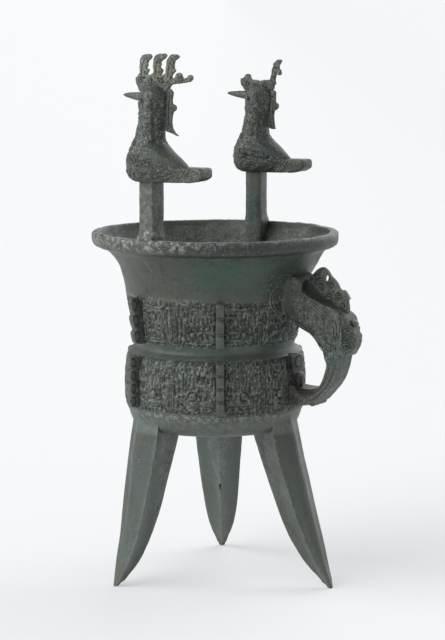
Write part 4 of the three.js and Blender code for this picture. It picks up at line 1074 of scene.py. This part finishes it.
    # painted shade: the lip darker from its front round to the right
    shade = np.maximum(shade, 0.66 * step(-84, -62, az) * step(100, 70, az) * step(409, 414, z) * step(136, 140, r) * step(437, 431, z))
    shade = np.maximum(shade, 0.95 * step(-94, -80, az) * step(-18, -42, az) * step(409, 413, z) * step(136, 140, r) * step(433, 428, z))
    blue = bird_front * step(520, 545, z) * (co[:, 1] < 0)
    blue = np.maximum(blue, 0.4 * step(190, 160, z))
    olive = np.maximum(bird_near * step(608, 616, z), 0.3 * step(186, 150, z))
    olive = np.maximum(olive, step(499, 503, z) * step(520, 516, z) * step(32, 38, co[:, 0]))
    crust = step(70, 25, az_gap(az, -116)) * step(412, 427, z) * step(132, 140, r) * step(450, 436, z)
    crust = np.maximum(crust, 0.5 * np.exp(-((z - 428.6) / 1.5) ** 2) * step(141, 145, r))
    crust = np.maximum(crust, 0.5 * step(206, 212, z) * step(219, 215, z) * step(100, 104, r) * (r < 116))
    crust = np.maximum(crust, 0.12 * step(188, 194, z) * step(212, 206, z) * step(86, 90, r) * (r < 112))
    near_post = 0.40 * step(26, 16, np.hypot(co[:, 0] + 13.4, co[:, 1] + 127.3)) * step(424, 432, z) * step(502, 494, z)
    crust = np.maximum(crust, 0.75 * near_post)
    green = step(70, 20, az_gap(az, -22)) * step(352, 372, z) * step(424, 404, z) * step(100, 108, r)
    green = np.maximum(green, 0.8 * step(24, 8, np.abs(z - 286)) * step(96, 99, r) * step(112, 104, r))
    brown = step(40, 15, az_gap(az, 0)) * step(186, 160, z) * step(30, 90, z)
    brown = np.maximum(brown, 0.6 * step(60, 20, az_gap(az, -20)) * step(LOWER_TOP + 6, LOWER_TOP - 20, z) * step(206, 222, z))
    brown = np.maximum(brown, 0.8 * head_side)
    brown = np.maximum(brown, 0.35 * step(352, 366, z) * step(424, 404, z) * step(100, 108, r))
    for name, val in (("sunk", sunk), ("worn", worn), ("grain", grain), ("crust", crust), ("green", green), ("brown", brown), ("curl", curl), ("inside", inside), ("root", root),
                      ("light", light), ("shade", shade), ("blue", blue), ("olive", olive)):
        a = me.attributes.new(name, "FLOAT", "POINT")
        a.data.foreach_set("value", val.astype(np.float32))


paint(casting)
casting.data.polygons.foreach_set("use_smooth", [True] * len(casting.data.polygons))
casting.data.set_sharp_from_angle(angle=48 * RAD)


# ---------------------------------------------------------------- material
def bronze():
    mat = bpy.data.materials.new("patinated_bronze")
    mat.use_nodes = True
    nt = mat.node_tree
    nt.nodes.clear()
    N = nt.nodes.new

    def link(a, b):
        nt.links.new(a, b)

    out = N("ShaderNodeOutputMaterial")
    bsdf = N("ShaderNodeBsdfPrincipled")
    link(bsdf.outputs[0], out.inputs[0])
    coord = N("ShaderNodeTexCoord")
    P = coord.outputs["Object"]

    def noise(scale, detail=4.0, rough=0.55, distort=0.0):
        n = N("ShaderNodeTexNoise")
        n.inputs["Scale"].default_value = scale
        n.inputs["Detail"].default_value = detail
        n.inputs["Roughness"].default_value = rough
        n.inputs["Distortion"].default_value = distort
        link(P, n.inputs["Vector"])
        return n.outputs[0]

    def ramp(src, stops):
        r = N("ShaderNodeValToRGB")
        els = r.color_ramp.elements
        els[0].position, els[0].color = stops[0][0], (*stops[0][1], 1)
        els[1].position, els[1].color = stops[-1][0], (*stops[-1][1], 1)
        for pos, col in stops[1:-1]:
            e = els.new(pos)
            e.color = (*col, 1)
        link(src, r.inputs[0])
        return r.outputs[0]

    def grey(src, a, b, lo=0.0, hi=1.0):
        m = N("ShaderNodeMapRange")
        m.inputs["From Min"].default_value = a
        m.inputs["From Max"].default_value = b
        m.inputs["To Min"].default_value = lo
        m.inputs["To Max"].default_value = hi
        link(src, m.inputs["Value"])
        return m.outputs[0]

    def mul(a, b):
        m = N("ShaderNodeMath")
        m.operation = "MULTIPLY"
        for i, x in enumerate((a, b)):
            if isinstance(x, (int, float)):
                m.inputs[i].default_value = x
            else:
                link(x, m.inputs[i])
        return m.outputs[0]

    def add(a, b, clamp=False):
        m = N("ShaderNodeMath")
        m.operation = "ADD"
        m.use_clamp = clamp
        for i, x in enumerate((a, b)):
            if isinstance(x, (int, float)):
                m.inputs[i].default_value = x
            else:
                link(x, m.inputs[i])
        return m.outputs[0]

    def mix(fac, a, b, mode="MIX"):
        m = N("ShaderNodeMix")
        m.data_type = "RGBA"
        m.blend_type = mode
        if isinstance(fac, (int, float)):
            m.inputs[0].default_value = fac
        else:
            link(fac, m.inputs[0])
        for sock, x in ((m.inputs[6], a), (m.inputs[7], b)):
            if isinstance(x, tuple):
                sock.default_value = (*x, 1)
            else:
                link(x, sock)
        return m.outputs[2]

    def attr(name):
        a = N("ShaderNodeAttribute")
        a.attribute_name = name
        return a.outputs["Fac"]

    big = noise(9.0, 5.0, 0.6, 0.4)
    mid = noise(38.0, 5.0, 0.62, 0.2)
    fine = noise(190.0, 4.0, 0.6)
    grit = noise(620.0, 3.0, 0.6)
    base = ramp(big, [(0.34, (0.026, 0.041, 0.036)), (0.44, (0.045, 0.062, 0.053)), (0.50, (0.064, 0.068, 0.050)), (0.57, (0.056, 0.074, 0.062)), (0.68, (0.032, 0.058, 0.053))])
    base = mix(grey(mid, 0.46, 0.66), base, (0.074, 0.082, 0.066))          # grey-olive tarnish
    base = mix(mul(grey(noise(23.0, 4.0, 0.6, 0.6), 0.55, 0.68), 0.6), base, (0.034, 0.062, 0.060))   # blue-green
    base = mix(mul(grey(fine, 0.35, 0.75), 0.4), base, (0.014, 0.017, 0.016))
    # green on the neck and waist, brown on the near right
    g = mul(attr("green"), grey(noise(17.0, 4.0, 0.6, 0.5), 0.40, 0.58))
    base = mix(mul(g, 0.75), base, (0.024, 0.072, 0.046))
    b = mul(attr("brown"), grey(noise(15.0, 4.0, 0.62, 0.5), 0.42, 0.62))
    base = mix(mul(b, 0.55), base, (0.062, 0.050, 0.042))
    spots = grey(noise(150.0, 4.0, 0.7, 0.3), 0.56, 0.64)
    base = mix(mul(mul(spots, grey(noise(16.0, 2.0, 0.5), 0.44, 0.60)), 0.6), base, (0.016, 0.022, 0.020))
    # lighter areas are painted light, besides a lighter tone on the registers; darker areas are painted shade, besides
    # a darker front to the lip; bluish and olive areas
    base = mix(mul(attr("blue"), grey(noise(22.0, 3.0, 0.55, 0.4), 0.42, 0.58, 0.20, 0.95)), base, (0.046, 0.090, 0.094))
    base = mix(mul(attr("olive"), grey(noise(24.0, 3.0, 0.55, 0.4), 0.44, 0.60, 0.15, 0.90)), base, (0.094, 0.092, 0.054))
    base = mix(mul(attr("light"), grey(mid, 0.38, 0.60, 0.35, 0.85)), base, (0.120, 0.140, 0.128))
    base = mix(mul(attr("shade"), 0.8), base, (0.012, 0.015, 0.014))
    # mottling of the worked surfaces: pale specks and dark pits
    pale = grey(noise(390.0, 3.0, 0.7), 0.54, 0.64)
    dark = grey(noise(330.0, 3.0, 0.7, 0.2), 0.51, 0.60)
    base = mix(mul(mul(attr("grain"), pale), 0.85), base, (0.230, 0.262, 0.230))
    base = mix(mul(mul(attr("grain"), dark), 0.95), base, (0.004, 0.006, 0.005))
    # small cast curls: rings round scattered centres
    vor = N("ShaderNodeTexVoronoi")
    vor.inputs["Scale"].default_value = 160.0
    vor.inputs["Randomness"].default_value = 0.75
    link(P, vor.inputs["Vector"])
    wave = N("ShaderNodeMath")
    wave.operation = "SINE"
    link(mul(add(vor.outputs["Distance"], mul(fine, 0.22)), 17.0), wave.inputs[0])
    rings = mul(mul(attr("curl"), grey(wave.outputs[0], -1.0, 1.0)), grey(noise(48.0, 3.0, 0.6), 0.42, 0.60, 0.25, 1.0))
    base = mix(mul(rings, 0.72), base, (0.009, 0.011, 0.010))
    base = mix(mul(mul(attr("curl"), grey(wave.outputs[0], -0.2, -1.0)), 0.30), base, (0.130, 0.142, 0.128))
    # the inside of the bowl is paler and dusty
    base = mix(mul(attr("inside"), mul(grey(noise(70.0, 5.0, 0.65), 0.38, 0.62), 0.6)), base, (0.120, 0.130, 0.122))
        # soil and corrosion in the sunk lines, with painted shade in the hollows, the one beside the head's crest too;
        # rubbed high edges
    base = mix(mul(attr("sunk"), 0.88), base, (0.008, 0.010, 0.009))
    base = mix(mul(attr("worn"), mul(grey(fine, 0.40, 0.62), 0.62)), base, (0.205, 0.222, 0.195))
    base = mix(mul(attr("root"), 0.97), base, (0.016, 0.011, 0.011))
    # pale crust in patches
    patch = grey(noise(170.0, 5.0, 0.72, 0.3), 0.47, 0.60)
    c = mul(attr("crust"), patch)
    base = mix(mul(c, 0.85), base, (0.36, 0.385, 0.355))
    speck = grey(noise(330.0, 2.0, 0.5), 0.68, 0.76)
    base = mix(mul(speck, 0.22), base, (0.22, 0.25, 0.22))
    link(base, bsdf.inputs["Base Color"])

    rough = grey(mid, 0.35, 0.70, 0.40, 0.60)
    rough = add(rough, mul(c, 0.28))
    rough = add(rough, mul(attr("sunk"), 0.2), True)
    link(rough, bsdf.inputs["Roughness"])
    bsdf.inputs["Metallic"].default_value = 0.22
    bsdf.inputs["Specular IOR Level"].default_value = 0.5

    bump1 = N("ShaderNodeBump")
    bump1.inputs["Strength"].default_value = 0.75
    bump1.inputs["Distance"].default_value = 0.0009
    link(add(add(mul(mid, 0.7), mul(patch, mul(attr("crust"), 0.6))), mul(rings, -0.5)), bump1.inputs["Height"])
    bump2 = N("ShaderNodeBump")
    bump2.inputs["Strength"].default_value = 0.6
    bump2.inputs["Distance"].default_value = 0.0005
    link(add(fine, mul(grit, 0.45)), bump2.inputs["Height"])
    link(bump1.outputs[0], bump2.inputs["Normal"])
    link(bump2.outputs[0], bsdf.inputs["Normal"])
    return mat


casting.data.materials.clear()
casting.data.materials.append(bronze())
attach(casting, "root")
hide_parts(NODE)


# ------------------------------------------------------------ floor and light
def simple(name, color, rough):
    mat = bpy.data.materials.new(name)
    mat.use_nodes = True
    b = mat.node_tree.nodes["Principled BSDF"]
    b.inputs["Base Color"].default_value = (*color, 1)
    b.inputs["Roughness"].default_value = rough
    b.inputs["Specular IOR Level"].default_value = 0.1
    return mat


bm = bmesh.new()
bmesh.ops.create_circle(bm, cap_ends=True, segments=96, radius=900.0)
floor_mesh = bpy.data.meshes.new("floor")
bm.to_mesh(floor_mesh)
bm.free()
floor = bpy.data.objects.new("floor", floor_mesh)
floor.location = (0, 0, cad_box[0][2] - 0.0002)
bpy.context.scene.collection.objects.link(floor)
pale = simple("pale_floor", (0.90, 0.905, 0.915), 0.9)
tree = pale.node_tree
where = tree.nodes.new("ShaderNodeTexCoord")
turn = tree.nodes.new("ShaderNodeVectorRotate")
turn.rotation_type = "Z_AXIS"
turn.inputs["Angle"].default_value = -30 * RAD
split = tree.nodes.new("ShaderNodeSeparateXYZ")
fade = tree.nodes.new("ShaderNodeMapRange")                # painted shade: the floor a touch darker towards the right
fade.inputs["From Min"].default_value = -0.2
fade.inputs["From Max"].default_value = 1.2
tone = tree.nodes.new("ShaderNodeMix")
tone.data_type = "RGBA"
tone.inputs[6].default_value = (0.590, 0.594, 0.602, 1)
tone.inputs[7].default_value = (0.548, 0.552, 0.560, 1)
tree.links.new(where.outputs["Object"], turn.inputs["Vector"])
tree.links.new(turn.outputs[0], split.inputs[0])
tree.links.new(split.outputs["X"], fade.inputs["Value"])
tree.links.new(fade.outputs[0], tone.inputs[0])
tree.links.new(tone.outputs[2], tree.nodes["Principled BSDF"].inputs["Base Color"])
# painted light: the floor glows faintly, which lifts its shadows
tree.nodes["Principled BSDF"].inputs["Emission Color"].default_value = (0.985, 0.992, 1.0, 1)
tree.nodes["Principled BSDF"].inputs["Emission Strength"].default_value = 0.265
floor_mesh.materials.append(pale)

scene = bpy.context.scene
scene.view_settings.view_transform = "Standard"
scene.view_settings.look = "None"
scene.view_settings.exposure = 0.0
world = bpy.data.worlds.new("studio")
world.use_nodes = True
bg = world.node_tree.nodes["Background"]
bg.inputs[0].default_value = (0.955, 0.965, 0.975, 1)
bg.inputs[1].default_value = 0.47
scene.world = world

RIGHT = np.array([math.cos(30 * RAD), math.sin(30 * RAD), 0])
AWAY = np.array([-math.sin(30 * RAD), math.cos(30 * RAD), 0])
UP = np.array([0, 0, 1.0])


def stage_point(x, y, z):
    """mm to the photograph's right, away from the camera, and up, from the vessel's axis."""
    return (RIGHT * x + AWAY * y + UP * z + SHIFT) * 0.001


def soft_sun(name, toward, spread, strength, color=(1, 1, 1)):
    """Far, broad light that falls evenly over the whole floor. Toward it: mm right, away and up."""
    light = bpy.data.lights.new(name, "SUN")
    light.angle = spread * RAD
    light.energy = strength
    light.color = color
    obj = bpy.data.objects.new(name, light)
    d = Vector((RIGHT * toward[0] + AWAY * toward[1] + UP * toward[2]).tolist())
    obj.rotation_euler = d.to_track_quat("Z", "Y").to_euler()
    bpy.context.scene.collection.objects.link(obj)


soft_sun("key", (-1.0, -0.42, 0.50), 80, 3.2, (1.0, 0.99, 0.98))
soft_sun("rim", (1.0, 1.15, 0.62), 85, 1.9, (0.98, 0.99, 1.0))

# ------------------------------------------------------------------ camera
PITCH = 0.134
cam_data = bpy.data.cameras.new("camera")
cam_data.sensor_fit = "AUTO"
cam_data.sensor_width = 36.0
cam_data.lens = 2414.0 / 640.0 * 36.0
cam_data.clip_start = 0.05
cam_data.clip_end = 2000.0
cam = bpy.data.objects.new("camera", cam_data)
scene.collection.objects.link(cam)
forward = AWAY * math.cos(PITCH) - UP * math.sin(PITCH)
up = np.cross(RIGHT, forward)
rot = Matrix([[RIGHT[i], up[i], -forward[i]] for i in range(3)])
cam.matrix_world = Matrix.Translation(Vector(stage_point(8.9, -2959.4, 718.2))) @ rot.to_4x4()
scene.camera = cam
